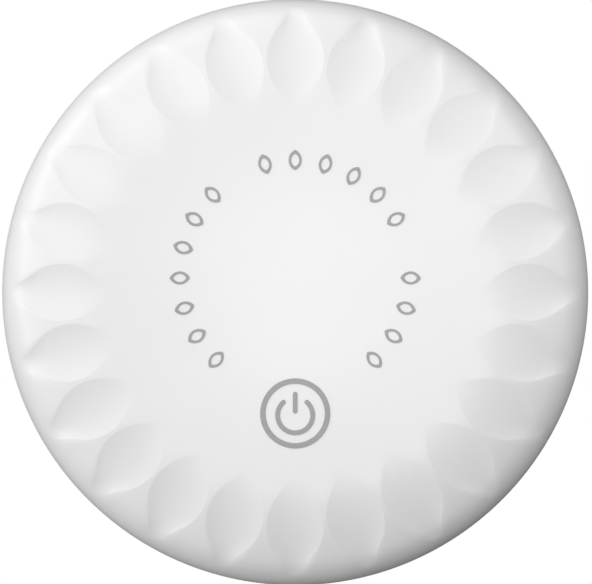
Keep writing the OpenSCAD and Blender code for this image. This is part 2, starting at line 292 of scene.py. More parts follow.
def brushedGroup():
    # fine scratches round the vertical axis of a turned or rolled metal part
    group, given, out = newGroup("turnedMetal", {
        "Vector": ("Vector", None), "Stretch": ("Vector", (40, 40, 2000)),
        "Height": ("Float", 0.1), "Roughness": ("Float", 0.3),
        "Roughness spread": ("Float", 0.2)}, {"Roughness": "Float", "Normal": "Vector"})
    stretched = node(group, "ShaderNodeVectorMath", {0: given["Vector"], 1: given["Stretch"]},
                     operation="MULTIPLY")
    lines = noise(group, stretched.outputs["Vector"], 30, 5, 0.7)
    rough = mathIn(group)("MULTIPLY_ADD", lines, given["Roughness spread"], given["Roughness"])
    feed(group, out["Roughness"], rough)
    feed(group, out["Normal"], bump(group, lines, given["Height"], 0.003))
    return group


grain, tone, brushed = mouldGrainGroup(), toneGroup(), brushedGroup()


# finishes

finishes = {
    # color, other color, tone amount, tone scale, roughness, spread, grain scale, grain height
    "whiteCover": dict(color=(0.86, 0.86, 0.86), other=(0.83, 0.83, 0.825), amount=0.25,
                       toneScale=90, rough=0.36, spread=0.05, grainScale=14000, height=0.12),
    "greyInk": dict(color=(0.385, 0.37, 0.37), other=(0.43, 0.42, 0.42), amount=0.5, toneScale=4000,
                    rough=0.55, spread=0.1, grainScale=20000, height=0.3),
    "charcoalFrame": dict(color=(0.032, 0.033, 0.036), other=(0.05, 0.05, 0.053), amount=0.5,
                          toneScale=500, rough=0.48, spread=0.15, grainScale=9000, height=0.35),
    "sealSilicone": dict(color=(0.60, 0.10, 0.03), other=(0.50, 0.08, 0.025), amount=0.6,
                         toneScale=900, rough=0.42, spread=0.12, grainScale=6000, height=0.3),
    "ringSilicone": dict(color=(0.55, 0.56, 0.57), other=(0.46, 0.47, 0.48), amount=0.6,
                         toneScale=700, rough=0.5, spread=0.1, grainScale=6000, height=0.3),
    "chipEpoxy": dict(color=(0.018, 0.018, 0.02), other=(0.035, 0.035, 0.037), amount=0.6,
                      toneScale=2500, rough=0.6, spread=0.15, grainScale=16000, height=0.6),
    "antennaCeramic": dict(color=(0.50, 0.60, 0.66), other=(0.42, 0.52, 0.60), amount=0.6,
                           toneScale=3000, rough=0.35, spread=0.1, grainScale=12000, height=0.2),
    "ferrite": dict(color=(0.07, 0.07, 0.075), other=(0.12, 0.12, 0.125), amount=0.7,
                    toneScale=3500, rough=0.65, spread=0.15, grainScale=9000, height=0.7),
    "capacitorCeramic": dict(color=(0.42, 0.29, 0.16), other=(0.34, 0.22, 0.11), amount=0.6,
                             toneScale=5000, rough=0.4, spread=0.1, grainScale=15000, height=0.25),
    "resistorGlaze": dict(color=(0.015, 0.015, 0.018), other=(0.04, 0.04, 0.045), amount=0.4,
                          toneScale=6000, rough=0.25, spread=0.1, grainScale=15000, height=0.2),
    "switchPlastic": dict(color=(0.02, 0.02, 0.022), other=(0.04, 0.04, 0.04), amount=0.5,
                          toneScale=1500, rough=0.45, spread=0.1, grainScale=12000, height=0.3),
    "plungerPlastic": dict(color=(0.76, 0.68, 0.5), other=(0.7, 0.61, 0.44), amount=0.5,
                           toneScale=2500, rough=0.4, spread=0.1, grainScale=12000, height=0.3),
    "glueTape": dict(color=(0.8, 0.78, 0.68), other=(0.7, 0.68, 0.58), amount=0.6,
                     toneScale=1200, rough=0.7, spread=0.15, grainScale=5000, height=0.6),
    "piezoCeramic": dict(color=(0.8, 0.78, 0.72), other=(0.7, 0.68, 0.62), amount=0.6,
                         toneScale=1500, rough=0.6, spread=0.12, grainScale=8000, height=0.5),
    "gasketPlastic": dict(color=(0.05, 0.05, 0.055), other=(0.09, 0.09, 0.09), amount=0.5,
                          toneScale=800, rough=0.4, spread=0.12, grainScale=7000, height=0.3),
    "cathodePellet": dict(color=(0.012, 0.012, 0.012), other=(0.03, 0.03, 0.03), amount=0.8,
                          toneScale=2500, rough=0.85, spread=0.1, grainScale=5000, height=1.0),
}

metals = {
    # color, roughness, spread, stretch of the scratches along X, Y, Z
    "cellSteel": dict(color=(0.76, 0.75, 0.73), rough=0.17, spread=0.1, stretch=(20, 20, 900)),
    "capSteel": dict(color=(0.73, 0.72, 0.70), rough=0.2, spread=0.14, stretch=(25, 400, 400)),
    "contactSteel": dict(color=(0.66, 0.64, 0.60), rough=0.22, spread=0.15, stretch=(60, 700, 700)),
    "domeSteel": dict(color=(0.68, 0.67, 0.65), rough=0.15, spread=0.12, stretch=(300, 300, 300)),
    "tinPlate": dict(color=(0.70, 0.69, 0.67), rough=0.3, spread=0.2, stretch=(500, 500, 500)),
    "goldPlate": dict(color=(0.85, 0.60, 0.24), rough=0.2, spread=0.15, stretch=(500, 500, 500)),
    "sheetBrass": dict(color=(0.72, 0.52, 0.22), rough=0.26, spread=0.2, stretch=(40, 900, 900)),
    "silverPaste": dict(color=(0.74, 0.73, 0.71), rough=0.45, spread=0.2, stretch=(700, 700, 700)),
    "lithium": dict(color=(0.55, 0.56, 0.60), rough=0.45, spread=0.2, stretch=(200, 200, 200)),
}


def startMaterial(name):
    material = bpy.data.materials.new(name)
    material.use_nodes = True
    tree = material.node_tree
    place = tree.nodes.new("ShaderNodeTexCoord").outputs["Object"]
    return material, tree, tree.nodes["Principled BSDF"].inputs, place


def placeGroup(tree, group, place, **values):
    # a group with its values, given with _ for a space; returns its outputs
    made = tree.nodes.new("ShaderNodeGroup")
    made.node_tree = group
    feed(tree, made.inputs["Vector"], place)
    for label, value in values.items():
        made.inputs[label.replace("_", " ")].default_value = value
    return made.outputs


def coat(tree, shader, skin, place, color, other, scale, amount):
    # roughness and normal from a surface group, colour from the tone group
    colour = placeGroup(tree, tone, place, Color=(*color, 1), Other_color=(*other, 1), Scale=scale,
                        Amount=amount)
    feed(tree, shader["Roughness"], skin["Roughness"])
    feed(tree, shader["Normal"], skin["Normal"])
    feed(tree, shader["Base Color"], colour["Color"])


def mouldedMaterial(name, look):
    material, tree, shader, place = startMaterial(name)
    skin = placeGroup(tree, grain, place, Grain_scale=look["grainScale"],
                      Grain_height=look["height"], Roughness=look["rough"],
                      Roughness_spread=look["spread"])
    coat(tree, shader, skin, place, look["color"], look["other"], look["toneScale"],
         look["amount"])
    return material


def metalMaterial(name, look):
    material, tree, shader, place = startMaterial(name)
    shader["Metallic"].default_value = 1
    skin = placeGroup(tree, brushed, place, Stretch=look["stretch"], Height=0.12,
                      Roughness=look["rough"], Roughness_spread=look["spread"])
    darker = [0.82 * c for c in look["color"]]
    coat(tree, shader, skin, place, look["color"], darker, 600, 0.25)
    return material


paint = {name: mouldedMaterial(name, look) for name, look in finishes.items()}
paint.update({name: metalMaterial(name, look) for name, look in metals.items()})
# light goes a little way into the white plastic
coverShader = paint["whiteCover"].node_tree.nodes["Principled BSDF"].inputs
coverShader["Subsurface Weight"].default_value = 0.12
coverShader["Subsurface Radius"].default_value = (1.0, 0.9, 0.8)
coverShader["Subsurface Scale"].default_value = 0.35 * mm
print("materials made:", len(paint))


# Geometry Nodes helpers

def newTree(name, **inputs):
    # a geometry tree with named inputs of each kind; returns it with what they give it
    tree = bpy.data.node_groups.new(name, "GeometryNodeTree")
    tree.interface.new_socket("Geometry", in_out="INPUT", socket_type="NodeSocketGeometry")
    for kind, labels in inputs.items():
        for label in labels:
            tree.interface.new_socket(label, in_out="INPUT", socket_type="NodeSocket" + kind)
    tree.interface.new_socket("Geometry", in_out="OUTPUT", socket_type="NodeSocketGeometry")
    return tree, tree.nodes.new("NodeGroupInput").outputs


def vector(tree, x=0.0, y=0.0, z=0.0):
    return node(tree, "ShaderNodeCombineXYZ", {0: x, 1: y, 2: z}).outputs[0]


def copiesAt(tree, points, instance, turn, **choice):
    # real copies of the instance, one at each point, turned about the upright axis
    turned = node(tree, "FunctionNodeEulerToRotation", {0: vector(tree, z=turn)})
    copies = node(tree, "GeometryNodeInstanceOnPoints", {
        "Points": points, "Instance": instance, "Rotation": turned.outputs[0], **choice})
    return node(tree, "GeometryNodeRealizeInstances", {"Geometry": copies.outputs[0]}).outputs[0]


def painted(tree, geometry, finish):
    made = node(tree, "GeometryNodeSetMaterial", {"Geometry": geometry, "Material": finish})
    return made.outputs[0]


def endTree(tree, geometry):
    tree.links.new(geometry, tree.nodes.new("NodeGroupOutput").inputs["Geometry"])
    return tree


def runTree(piece, tree, values):
    # runs the tree on the piece and keeps the result as its plain mesh
    modifier = piece.modifiers.new("build", "NODES")
    modifier.node_group = tree
    sockets = {item.name: item.identifier for item in tree.interface.items_tree
               if item.in_out == "INPUT"}
    for label, value in values.items():
        modifier[sockets[label]] = value
    graph = bpy.context.evaluated_depsgraph_get()
    mesh = bpy.data.meshes.new_from_object(piece.evaluated_get(graph), depsgraph=graph)
    piece.modifiers.remove(modifier)
    piece.data = mesh
    mesh.name = piece.name + "Mesh"
    return mesh


def sectionPiece(name, section):
    # a piece whose mesh is just the section's points, in order, at (r, 0, z)
    mesh = bpy.data.meshes.new(name + "Section")
    mesh.from_pydata([(r * mm, 0, z * mm) for r, z in section], [], [])
    return newObject(name, mesh)


# front cover: the turned section with scoops pressed into its shoulder

cover = dict(
    radius=16.0, faceHeight=8.0, faceRadius=11.0, wideArc=8.333, tightArc=2.4, bandTop=5.0,
    bandBottom=3.55, wall=1.15, edgeFillet=0.1,
    scoops=24, scoopStart=10.1, scoopEnd=15.5, scoopHalfWidth=1.55, scoopDepth=0.175,
    deepest=0.62, easeIn=1.6, easeOut=2.5, neckWidth=0.28, neckSpread=3.92, neckPower=1.57,
    fanLength=1.6, columns=24,
)


def shoulderPoint(radius, inset=0):
    # height of the shoulder at this radius, or of the inner surface an inset below it
    c = cover
    wide, tight = c["wideArc"] - inset, c["tightArc"] - inset
    wideZ = c["faceHeight"] - c["wideArc"]
    tightR = c["radius"] - c["tightArc"]
    joint = c["faceRadius"] + (tightR - c["faceRadius"]) * wide / (c["wideArc"] - c["tightArc"])
    if radius <= c["faceRadius"]:
        return radius, c["faceHeight"] - inset
    if radius <= joint:
        return radius, wideZ + math.sqrt(wide ** 2 - (radius - c["faceRadius"]) ** 2)
    return radius, c["bandTop"] + math.sqrt(max(0, tight ** 2 - (radius - tightR) ** 2))


def coverSection():
    c = cover
    tightR = c["radius"] - c["tightArc"]
    start = c["scoopStart"]
    outer = [(r, c["faceHeight"]) for r in (0, 2.5, 5, 7, 8.4, 9.3, 9.7, 9.95)]
    steps = 62
    outer += [shoulderPoint(start + (c["scoopEnd"] - start) * i / steps) for i in range(steps + 1)]
    last = math.degrees(math.acos((c["scoopEnd"] - tightR) / c["tightArc"]))
    outer += arcPoints((tightR, c["bandTop"]), c["tightArc"], last, 0, 14)[1:]
    foot, wall, fillet = c["bandBottom"], c["wall"], c["edgeFillet"]
    rim = rounded([(c["radius"], foot + 1), (c["radius"], foot, fillet),
                   (c["radius"] - wall, foot, fillet), (c["radius"] - wall, foot + 1)], 4)[1:-1]
    inner = [(c["radius"] - wall, 4.3), (c["radius"] - wall, c["bandTop"])]
    inner += arcPoints((tightR, c["bandTop"]), c["tightArc"] - wall, 0, 60, 6)[1:]
    ribIn, ribOut = shoulderPoint(13.75, wall), shoulderPoint(14.25, wall)
    inner += rounded([ribOut, (ribOut[0], 5.6, 0.08), (ribIn[0], 5.6, 0.08), ribIn], 3)
    inner += [shoulderPoint(r, wall) for r in (13.4, 13, 12.5, 12, 11.5, 11, 8, 4, 0)]
    return outer, rim + inner


def scoopedTree():
    # one pitch of the cover is a grid of columns and section points; then it goes round
    tree, value = newTree("scoopedCover", Int=("Outer rows", "Columns", "Scoops"), Float=(
        "Scoop start", "Scoop end", "Half width", "Depth", "Deepest", "Ease in", "Ease out",
        "Neck width", "Neck spread", "Neck power", "Fan length", "Rim radius"),
        Material=("Finish",))
    calc = mathIn(tree)
    rows = node(tree, "GeometryNodeAttributeDomainSize", {"Geometry": value["Geometry"]})
    columnCount = calc("ADD", value["Columns"], 1)
    grid = node(tree, "GeometryNodeMeshGrid", {
        "Size X": 1.0, "Size Y": 1.0, "Vertices X": columnCount,
        "Vertices Y": rows.outputs["Point Count"]})
    position = node(tree, "GeometryNodeInputPosition").outputs[0]
    place = node(tree, "ShaderNodeSeparateXYZ", {0: position}).outputs[0]
    index = node(tree, "GeometryNodeInputIndex").outputs[0]
    row = calc("FLOORED_MODULO", index, rows.outputs["Point Count"])

    def sectionAt(rowIndex):
        sample = node(tree, "GeometryNodeSampleIndex", {
            "Geometry": value["Geometry"], "Index": rowIndex, "Value": position},
            data_type="FLOAT_VECTOR", domain="POINT", clamp=True)
        parts = node(tree, "ShaderNodeSeparateXYZ", {0: sample.outputs[0]})
        return parts.outputs[0], parts.outputs[2]

    radius, height = sectionAt(row)
    radiusAfter, heightAfter = sectionAt(calc("ADD", row, 1))
    radiusBefore, heightBefore = sectionAt(calc("SUBTRACT", row, 1))
    alongRadius = calc("SUBTRACT", radiusAfter, radiusBefore)
    alongHeight = calc("SUBTRACT", heightAfter, heightBefore)
    squares = calc("ADD", calc("MULTIPLY", alongRadius, alongRadius),
                   calc("MULTIPLY", alongHeight, alongHeight))
    length = calc("MAXIMUM", calc("SQRT", squares), 1e-9)
    inRadius = calc("DIVIDE", alongHeight, length)  # into the material, across the section
    inHeight = calc("MULTIPLY", calc("DIVIDE", alongRadius, length), -1)

    def share(number, start, span):
        # how far the number is along the span, from 0 to 1
        part = calc("DIVIDE", calc("SUBTRACT", number, start), span)
        return node(tree, "ShaderNodeClamp", {"Value": part}).outputs[0]

    # outline across: a leaf that is pointed inside and draws in to a narrow neck outside
    blend, narrowFrom = 0.06, 0.88
    span = calc("SUBTRACT", value["Scoop end"], value["Scoop start"])
    t = share(radius, value["Scoop start"], span)
    leaf = calc("MULTIPLY", calc("MULTIPLY", t, calc("SUBTRACT", 1, t)), 4)
    neck = calc("POWER", calc("SUBTRACT", 1, t), value["Neck power"])
    neck = calc("MULTIPLY_ADD", neck, value["Neck spread"], value["Neck width"])
    outline = calc("MAXIMUM", calc("SMOOTH_MIN", leaf, neck, blend),
                   calc("MULTIPLY", neck, calc("GREATER_THAN", t, narrowFrom)))
    # depth along: it eases in, is deepest past the middle and runs out at the rim
    rise = calc("MINIMUM", calc("DIVIDE", t, value["Deepest"]), 1)
    rise = calc("POWER", calc("SINE", calc("MULTIPLY", rise, math.pi / 2)), value["Ease in"])
    fall = calc("DIVIDE", calc("MAXIMUM", calc("SUBTRACT", t, value["Deepest"]), 0),
                calc("SUBTRACT", 1, value["Deepest"]))
    along = calc("MULTIPLY", rise, calc("SUBTRACT", 1, calc("POWER", fall, value["Ease out"])))

    # columns: this share of them across the scoop, the rest across the land
    scoopShare, leastAngle, leastRadius = 0.75, 0.0005, 1e-6
    u = calc("MULTIPLY", place, 2)
    side = calc("SIGN", u)
    across = calc("ABSOLUTE", u)
    halfPitch = calc("DIVIDE", math.pi, value["Scoops"])
    towardsAxis = calc("SUBTRACT", value["Scoop start"], radius)
    fanIn = share(towardsAxis, 0, value["Fan length"])
    fanOut = share(radius, value["Scoop end"],
                   calc("SUBTRACT", value["Rim radius"], value["Scoop end"]))
    isInner = calc("GREATER_THAN", row, calc("SUBTRACT", value["Outer rows"], 0.5))
    fan = calc("MAXIMUM", calc("MAXIMUM", fanIn, fanOut), isInner)
    eased = calc("MULTIPLY", calc("MULTIPLY", fan, fan),
                 calc("SUBTRACT", 3, calc("MULTIPLY", fan, 2)))
    scoopAngle = calc("DIVIDE", calc("MULTIPLY", outline, value["Half width"]),
                      calc("MAXIMUM", radius, leastRadius))
    evenAngle = calc("MULTIPLY", calc("MULTIPLY", eased, scoopShare), halfPitch)
    halfAngle = calc("MAXIMUM", calc("MAXIMUM", scoopAngle, evenAngle), leastAngle)
    inner = calc("MINIMUM", calc("DIVIDE", across, scoopShare), 1)
    inner = calc("SINE", calc("MULTIPLY", inner, math.pi / 2))
    land = share(across, scoopShare, 1 - scoopShare)
    angle = calc("ADD", calc("MULTIPLY", inner, halfAngle),
                 calc("MULTIPLY", land, calc("SUBTRACT", halfPitch, halfAngle)))
    angle = calc("ADD", calc("MULTIPLY", angle, side), math.pi / 2)
    bowl = calc("SUBTRACT", 1, calc("MULTIPLY", inner, inner))
    drop = calc("MULTIPLY", calc("MULTIPLY", along, bowl), value["Depth"])
    drop = calc("MULTIPLY", drop, calc("SUBTRACT", 1, isInner))
    finalRadius = calc("ADD", radius, calc("MULTIPLY", inRadius, drop))
    finalHeight = calc("ADD", height, calc("MULTIPLY", inHeight, drop))
    point = vector(tree, calc("MULTIPLY", finalRadius, calc("COSINE", angle)),
                   calc("MULTIPLY", finalRadius, calc("SINE", angle)), finalHeight)
    shaped = node(tree, "GeometryNodeSetPosition", {
        "Geometry": grid.outputs["Mesh"], "Position": point})
    spots = node(tree, "GeometryNodePoints", {"Count": value["Scoops"]})
    turn = calc("MULTIPLY", calc("MULTIPLY", halfPitch, 2), index)
    real = copiesAt(tree, spots.outputs[0], shaped.outputs[0], turn)
    joined = node(tree, "GeometryNodeMergeByDistance", {"Geometry": real, "Distance": weld / 2})
    flipped = node(tree, "GeometryNodeFlipFaces", {"Mesh": joined.outputs[0]})
    smooth = node(tree, "GeometryNodeSetShadeSmooth", {"Geometry": flipped.outputs[0]})
    return endTree(tree, painted(tree, smooth.outputs[0], value["Finish"]))


outerRows, innerRows = coverSection()
frontCover = sectionPiece("frontCover", outerRows + innerRows)
coverMesh = runTree(frontCover, scoopedTree(), {
    "Outer rows": len(outerRows), "Columns": cover["columns"], "Scoops": cover["scoops"],
    "Scoop start": cover["scoopStart"] * mm, "Scoop end": cover["scoopEnd"] * mm,
    "Half width": cover["scoopHalfWidth"] * mm, "Depth": cover["scoopDepth"] * mm,
    "Deepest": cover["deepest"], "Ease in": cover["easeIn"], "Ease out": cover["easeOut"],
    "Neck width": cover["neckWidth"], "Neck spread": cover["neckSpread"],
    "Neck power": cover["neckPower"], "Fan length": cover["fanLength"] * mm,
    "Rim radius": cover["radius"] * mm, "Finish": paint["whiteCover"]})
print("front cover rows", len(outerRows), len(innerRows), "faces", len(coverMesh.polygons))


def sweptBlock(bm, section, start, end, steps=24):
    # a closed section in (r, z) swept between two angles, with flat ends
    rings = []
    for k in range(steps + 1):
        a = math.radians(start + (end - start) * k / steps)
        rings.append([bm.verts.new((r * math.cos(a) * mm, r * math.sin(a) * mm, z * mm))
                      for r, z in section])
    for here, after in zip(rings, rings[1:]):
        for i in range(len(section)):
            j = (i + 1) % len(section)
            bm.faces.new((here[i], here[j], after[j], after[i]))
    bm.faces.new(rings[0])
    bm.faces.new(rings[-1][::-1])


def cut(mesh, cutters):
    # takes each cutter mesh away from the mesh
    target = newObject("cutTarget", mesh)
    tools = []
    for cutter in cutters:
        tool = newObject("cutTool", cutter)
        modifier = target.modifiers.new("cut", "BOOLEAN")
        modifier.operation, modifier.solver, modifier.object = "DIFFERENCE", "EXACT", tool
        tools.append(tool)
    graph = bpy.context.evaluated_depsgraph_get()
    result = bpy.data.meshes.new_from_object(target.evaluated_get(graph), depsgraph=graph)
    for item in [target] + tools:
        bpy.data.objects.remove(item)
    return shaded(result)


def blockMesh(low, high, bevel, turn=0):
    bm = bmesh.new()
    addBlock(bm, low, high, bevel, 0, turn)
    return meshFrom(bm, "block")


def rodMesh(x, y, radius, bottom, top, segments=64):
    return turned("rod", [(0, bottom), (radius, bottom), (radius, top), (0, top)], segments, (x, y))


coverInside = dict(hookAngles=(60, 180, 300), hookSweep=24, hookBottom=3.7, hookTop=4.18,
                   guideAngles=(0, 120, 240), guideWidth=1.2, guideTop=4.75,
                   pipRadius=0.95, pipBottom=6.41, switchY=-6.59)


def addCoverInside(mesh):
    c = coverInside
    bm = bmesh.new()
    hook = rounded([(14.15, c["hookBottom"], 0.1), (15.1, c["hookBottom"]),
                    (15.1, c["hookTop"]), (14.15, c["hookTop"], 0.05)], 3)
    for a in c["hookAngles"]:
        sweptBlock(bm, hook, a - c["hookSweep"] / 2, a + c["hookSweep"] / 2)
    for a in c["guideAngles"]:
        addBlock(bm, (14.17, -c["guideWidth"] / 2, 3.7), (15.1, c["guideWidth"] / 2, c["guideTop"]),
                 0.1, 0, a)
    pip = rounded([(0, c["pipBottom"]), (c["pipRadius"], c["pipBottom"], 0.15),
                   (c["pipRadius"], 6.7), (1.05, 7.1), (0, 7.1)], 4)
    turnSection(bm, pip, 48, (0, c["switchY"]))
    addInto(mesh, bm, 32)


addCoverInside(coverMesh)
assign(frontCover, "front_key", ["front_cover"])

# printed marks: thin ink standing on the face
ink = dict(bottom=8.0, thickness=0.02, symbolY=-6.59, ringRadius=1.91, ringLine=0.3,
           openRadius=1.09, openLine=0.27, openGap=42, openDrop=0.1, barLine=0.26, barStart=0.12,
           barLength=0.93, marksRadius=6.28, marksCentreY=0.91, markLength=1.12, markWidth=0.72,
           markLine=0.14, places=19, pitch=15.2, blanks=(7, 14))


def raisedShape(bm, outline, holes=()):
    # a flat shape as thick as the ink; each hole has as many points as the outline
    bottom, top = ink["bottom"], ink["bottom"] + ink["thickness"]
    low = [bm.verts.new((x * mm, y * mm, bottom * mm)) for x, y in outline]
    high = [bm.verts.new((x * mm, y * mm, top * mm)) for x, y in outline]
    count = len(outline)
    for i in range(count):
        j = (i + 1) % count
        bm.faces.new((low[i], low[j], high[j], high[i]))
    if not holes:
        bm.faces.new(low[::-1])
        bm.faces.new(high)
        return
    innerLow = [bm.verts.new((x * mm, y * mm, bottom * mm)) for x, y in holes]
    innerHigh = [bm.verts.new((x * mm, y * mm, top * mm)) for x, y in holes]
    for i in range(count):
        j = (i + 1) % count
        bm.faces.new((innerLow[j], innerLow[i], innerHigh[i], innerHigh[j]))
        bm.faces.new((high[i], high[j], innerHigh[j], innerHigh[i]))
        bm.faces.new((low[j], low[i], innerLow[i], innerLow[j]))


def standbySymbol():
    bm = bmesh.new()
    y = ink["symbolY"]
    circle = [(math.cos(math.radians(a)), math.sin(math.radians(a))) for a in range(0, 360, 3)]
    outer, inner = ink["ringRadius"], ink["ringRadius"] - ink["ringLine"]
    raisedShape(bm, [(outer * x, y + outer * v) for x, v in circle],
                [(inner * x, y + inner * v) for x, v in circle])
    half = ink["openLine"] / 2
    middle, centre = ink["openRadius"] - half, (0, y - ink["openDrop"])
    start, end = 90 + ink["openGap"], 450 - ink["openGap"]
    first = (centre[0] + middle * math.cos(math.radians(start)),
             centre[1] + middle * math.sin(math.radians(start)))
    last = (centre[0] + middle * math.cos(math.radians(end)),
            centre[1] + middle * math.sin(math.radians(end)))
    outline = arcPoints(centre, middle + half, start, end, 90)
    outline += arcPoints(last, half, end, end + 180, 10)[1:-1]
    outline += arcPoints(centre, middle - half, end, start, 90)
    outline += arcPoints(first, half, start - 180, start, 10)[1:-1]
    raisedShape(bm, outline)
    half = ink["barLine"] / 2
    foot = y + ink["barStart"]
    bar = arcPoints((0, foot), half, 180, 360, 12)
    bar += arcPoints((0, foot + ink["barLength"]), half, 0, 180, 12)
    raisedShape(bm, bar)
    return meshFrom(bm, "standbySymbolMesh", 30)


def leafOutline(length, width, steps=14):
    radius = (length ** 2 + width ** 2) / (4 * width)
    reach = math.degrees(math.asin(length / 2 / radius))
    right = arcPoints((width / 2 - radius, 0), radius, -reach, reach, steps)
    left = arcPoints((radius - width / 2, 0), radius, 180 - reach, 180 + reach, steps)
    return right[:-1] + left[:-1]


def marksTree():
    tree, value = newTree("ringOfMarks", Int=("Places", "Blank A", "Blank B"),
                          Float=("Pitch", "Radius", "Centre Y"), Material=("Finish",))
    calc = mathIn(tree)
    index = node(tree, "GeometryNodeInputIndex").outputs[0]
    middle = calc("DIVIDE", calc("SUBTRACT", value["Places"], 1), 2)
    turn = calc("MULTIPLY", calc("SUBTRACT", middle, index), value["Pitch"])
    angle = calc("ADD", turn, math.pi / 2)
    x = calc("MULTIPLY", calc("COSINE", angle), value["Radius"])
    y = calc("ADD", calc("MULTIPLY", calc("SINE", angle), value["Radius"]), value["Centre Y"])
    spots = node(tree, "GeometryNodePoints", {
        "Count": value["Places"], "Position": vector(tree, x, y)})
    isBlank = calc("MAXIMUM", calc("COMPARE", index, value["Blank A"], 0.1),
                   calc("COMPARE", index, value["Blank B"], 0.1))
    marks = copiesAt(tree, spots.outputs[0], value["Geometry"], turn,
                     Selection=calc("SUBTRACT", 1, isBlank))
    return endTree(tree, painted(tree, marks, value["Finish"]))


addPiece("standbySymbol", standbySymbol(), "front_key", ["power_symbol_print"],
         [paint["greyInk"]])
bm = bmesh.new()
scale = 1 - 2 * ink["markLine"] / ink["markWidth"]
raisedShape(bm, leafOutline(ink["markLength"], ink["markWidth"]),
            leafOutline(ink["markLength"] * scale, ink["markWidth"] * scale))
ringMarks = newObject("ringMarks", meshFrom(bm, "oneMark", 30))
runTree(ringMarks, marksTree(), {
    "Places": ink["places"], "Pitch": math.radians(ink["pitch"]), "Radius": ink["marksRadius"] * mm,
    "Centre Y": ink["marksCentreY"] * mm, "Blank A": ink["blanks"][0], "Blank B": ink["blanks"][1],
    "Finish": paint["greyInk"]})
assign(ringMarks, "front_key", ["ring_marks_print"])
print("front cover and print made")

# rear cover: a turned dish with a step for the frame, a snap groove and a pry slot
# (the wide arc and the tight arc of its outside meet where both lean by the same angle)
rear = dict(radius=16.0, flatRadius=12.6, wideArc=3.8, tightArc=1.8, arcsMeet=-36.87, bandStart=2.6,
            floor=0.8, wellRadius=13.6, stepHeight=1.85, innerRadius=14.63, rimHeight=3.3,
            grooveHeight=2.95, grooveRadius=0.2, ribInner=10.3, ribOuter=11.1, ribTop=1.7,
            pryWidth=3.2, pryHeight=0.45, pryDepth=0.8, pryCorner=0.12)


def rearSection():
    r = rear
    path = [(0, 0), (6, 0)]
    path += arcPoints((r["flatRadius"], r["wideArc"]), r["wideArc"], -90, r["arcsMeet"], 20)
    tightCentre = (r["radius"] - r["tightArc"], r["bandStart"])
    path += arcPoints(tightCentre, r["tightArc"], r["arcsMeet"], 0, 10)[1:]
    path += rounded([
        (r["radius"], 2.8), (r["radius"], r["rimHeight"], 0.1),
        (r["innerRadius"], r["rimHeight"], 0.18),
        (r["innerRadius"], r["grooveHeight"] + r["grooveRadius"])], 5)
    path += arcPoints((r["innerRadius"], r["grooveHeight"]), r["grooveRadius"], 90, -90, 8)[1:]
    path += rounded([
        (r["innerRadius"], 2.5), (r["innerRadius"], r["stepHeight"], 0.08),
        (r["wellRadius"], r["stepHeight"], 0.08), (r["wellRadius"], r["floor"], 0.2),
        (r["ribOuter"], r["floor"], 0.1), (r["ribOuter"], r["ribTop"], 0.12),
        (r["ribInner"], r["ribTop"], 0.12), (r["ribInner"], r["floor"], 0.1),
        (6, r["floor"]), (0, r["floor"])], 4)
    return path


rearMesh = turned("rearShell", rearSection(), 256)
half, past = rear["pryWidth"] / 2, 0.5  # the cutter stands past the rim
prySlot = blockMesh((-half, -rear["radius"] - past, rear["rimHeight"] - rear["pryHeight"]),
                    (half, -rear["radius"] + rear["pryDepth"], rear["rimHeight"] + past),
                    rear["pryCorner"])
addPiece("rearCover", cut(rearMesh, [prySlot]), "rear_shell", ["rear_cover"],
         [paint["whiteCover"]])
print("rear cover made")


# battery cushion: a foam disc, crowned and with soft edges
def foamCell():
    material, tree, shader, place = startMaterial("cushionFoam")
    cells = node(tree, "ShaderNodeTexVoronoi", {"Vector": place, "Scale": 5200}).outputs["Distance"]
    colour = placeGroup(tree, tone, place, Color=(0.045, 0.045, 0.05, 1),
                        Other_color=(0.09, 0.09, 0.095, 1), Scale=900, Amount=0.6)
    # painted shade: the cells darken the pits that the bump below presses into the foam, and
    # painted light brightens the rims between them
    poreShade = mapRange(tree, cells, toMin=0.35, toMax=1.3)
    feed(tree, shader["Base Color"], mixColor(tree, 0.6, colour["Color"], poreShade, "MULTIPLY"))
    feed(tree, shader["Normal"], bump(tree, cells, 0.7, 0.05))
    shader["Roughness"].default_value = 0.9
    return material


cushionSize = dict(radius=8.0, bottom=0.8, top=1.18, edge=0.15, crown=0.03)
c = cushionSize
cushionPath = rounded([(0, c["bottom"]), (c["radius"], c["bottom"], c["edge"]),
                       (c["radius"], c["top"] - c["crown"], c["edge"] * 0.8)], 6)
cushionPath += [(c["radius"] * f, c["top"] - c["crown"] * f ** 6)
                for f in (0.95, 0.85, 0.7, 0.5, 0.25, 0)]
cushion = addPiece("batteryCushion", turned("batteryCushionMesh", cushionPath, 128), "rear_shell",
                   ["battery_cushion"], [foamCell()])

# mid frame: battery bay, grooves for hooks and seal, cored pockets, posts through the board
midFrame = dict(bay=10.35, radius=14.5, bottom=1.9, top=4.8, ribs=12, coreInner=11.6,
                coreOuter=13.1, coreTop=4.0, sealGroove=14.0, sealFoot=2.05, sealTop=2.65,
                hookGroove=13.9, hookFoot=3.45, hookTop=4.2, stakeAngles=(30, 150, 270),
                stakePlace=12.3, stakeRadius=0.5, headRadius=0.85, headFoot=5.6, headTop=5.95)


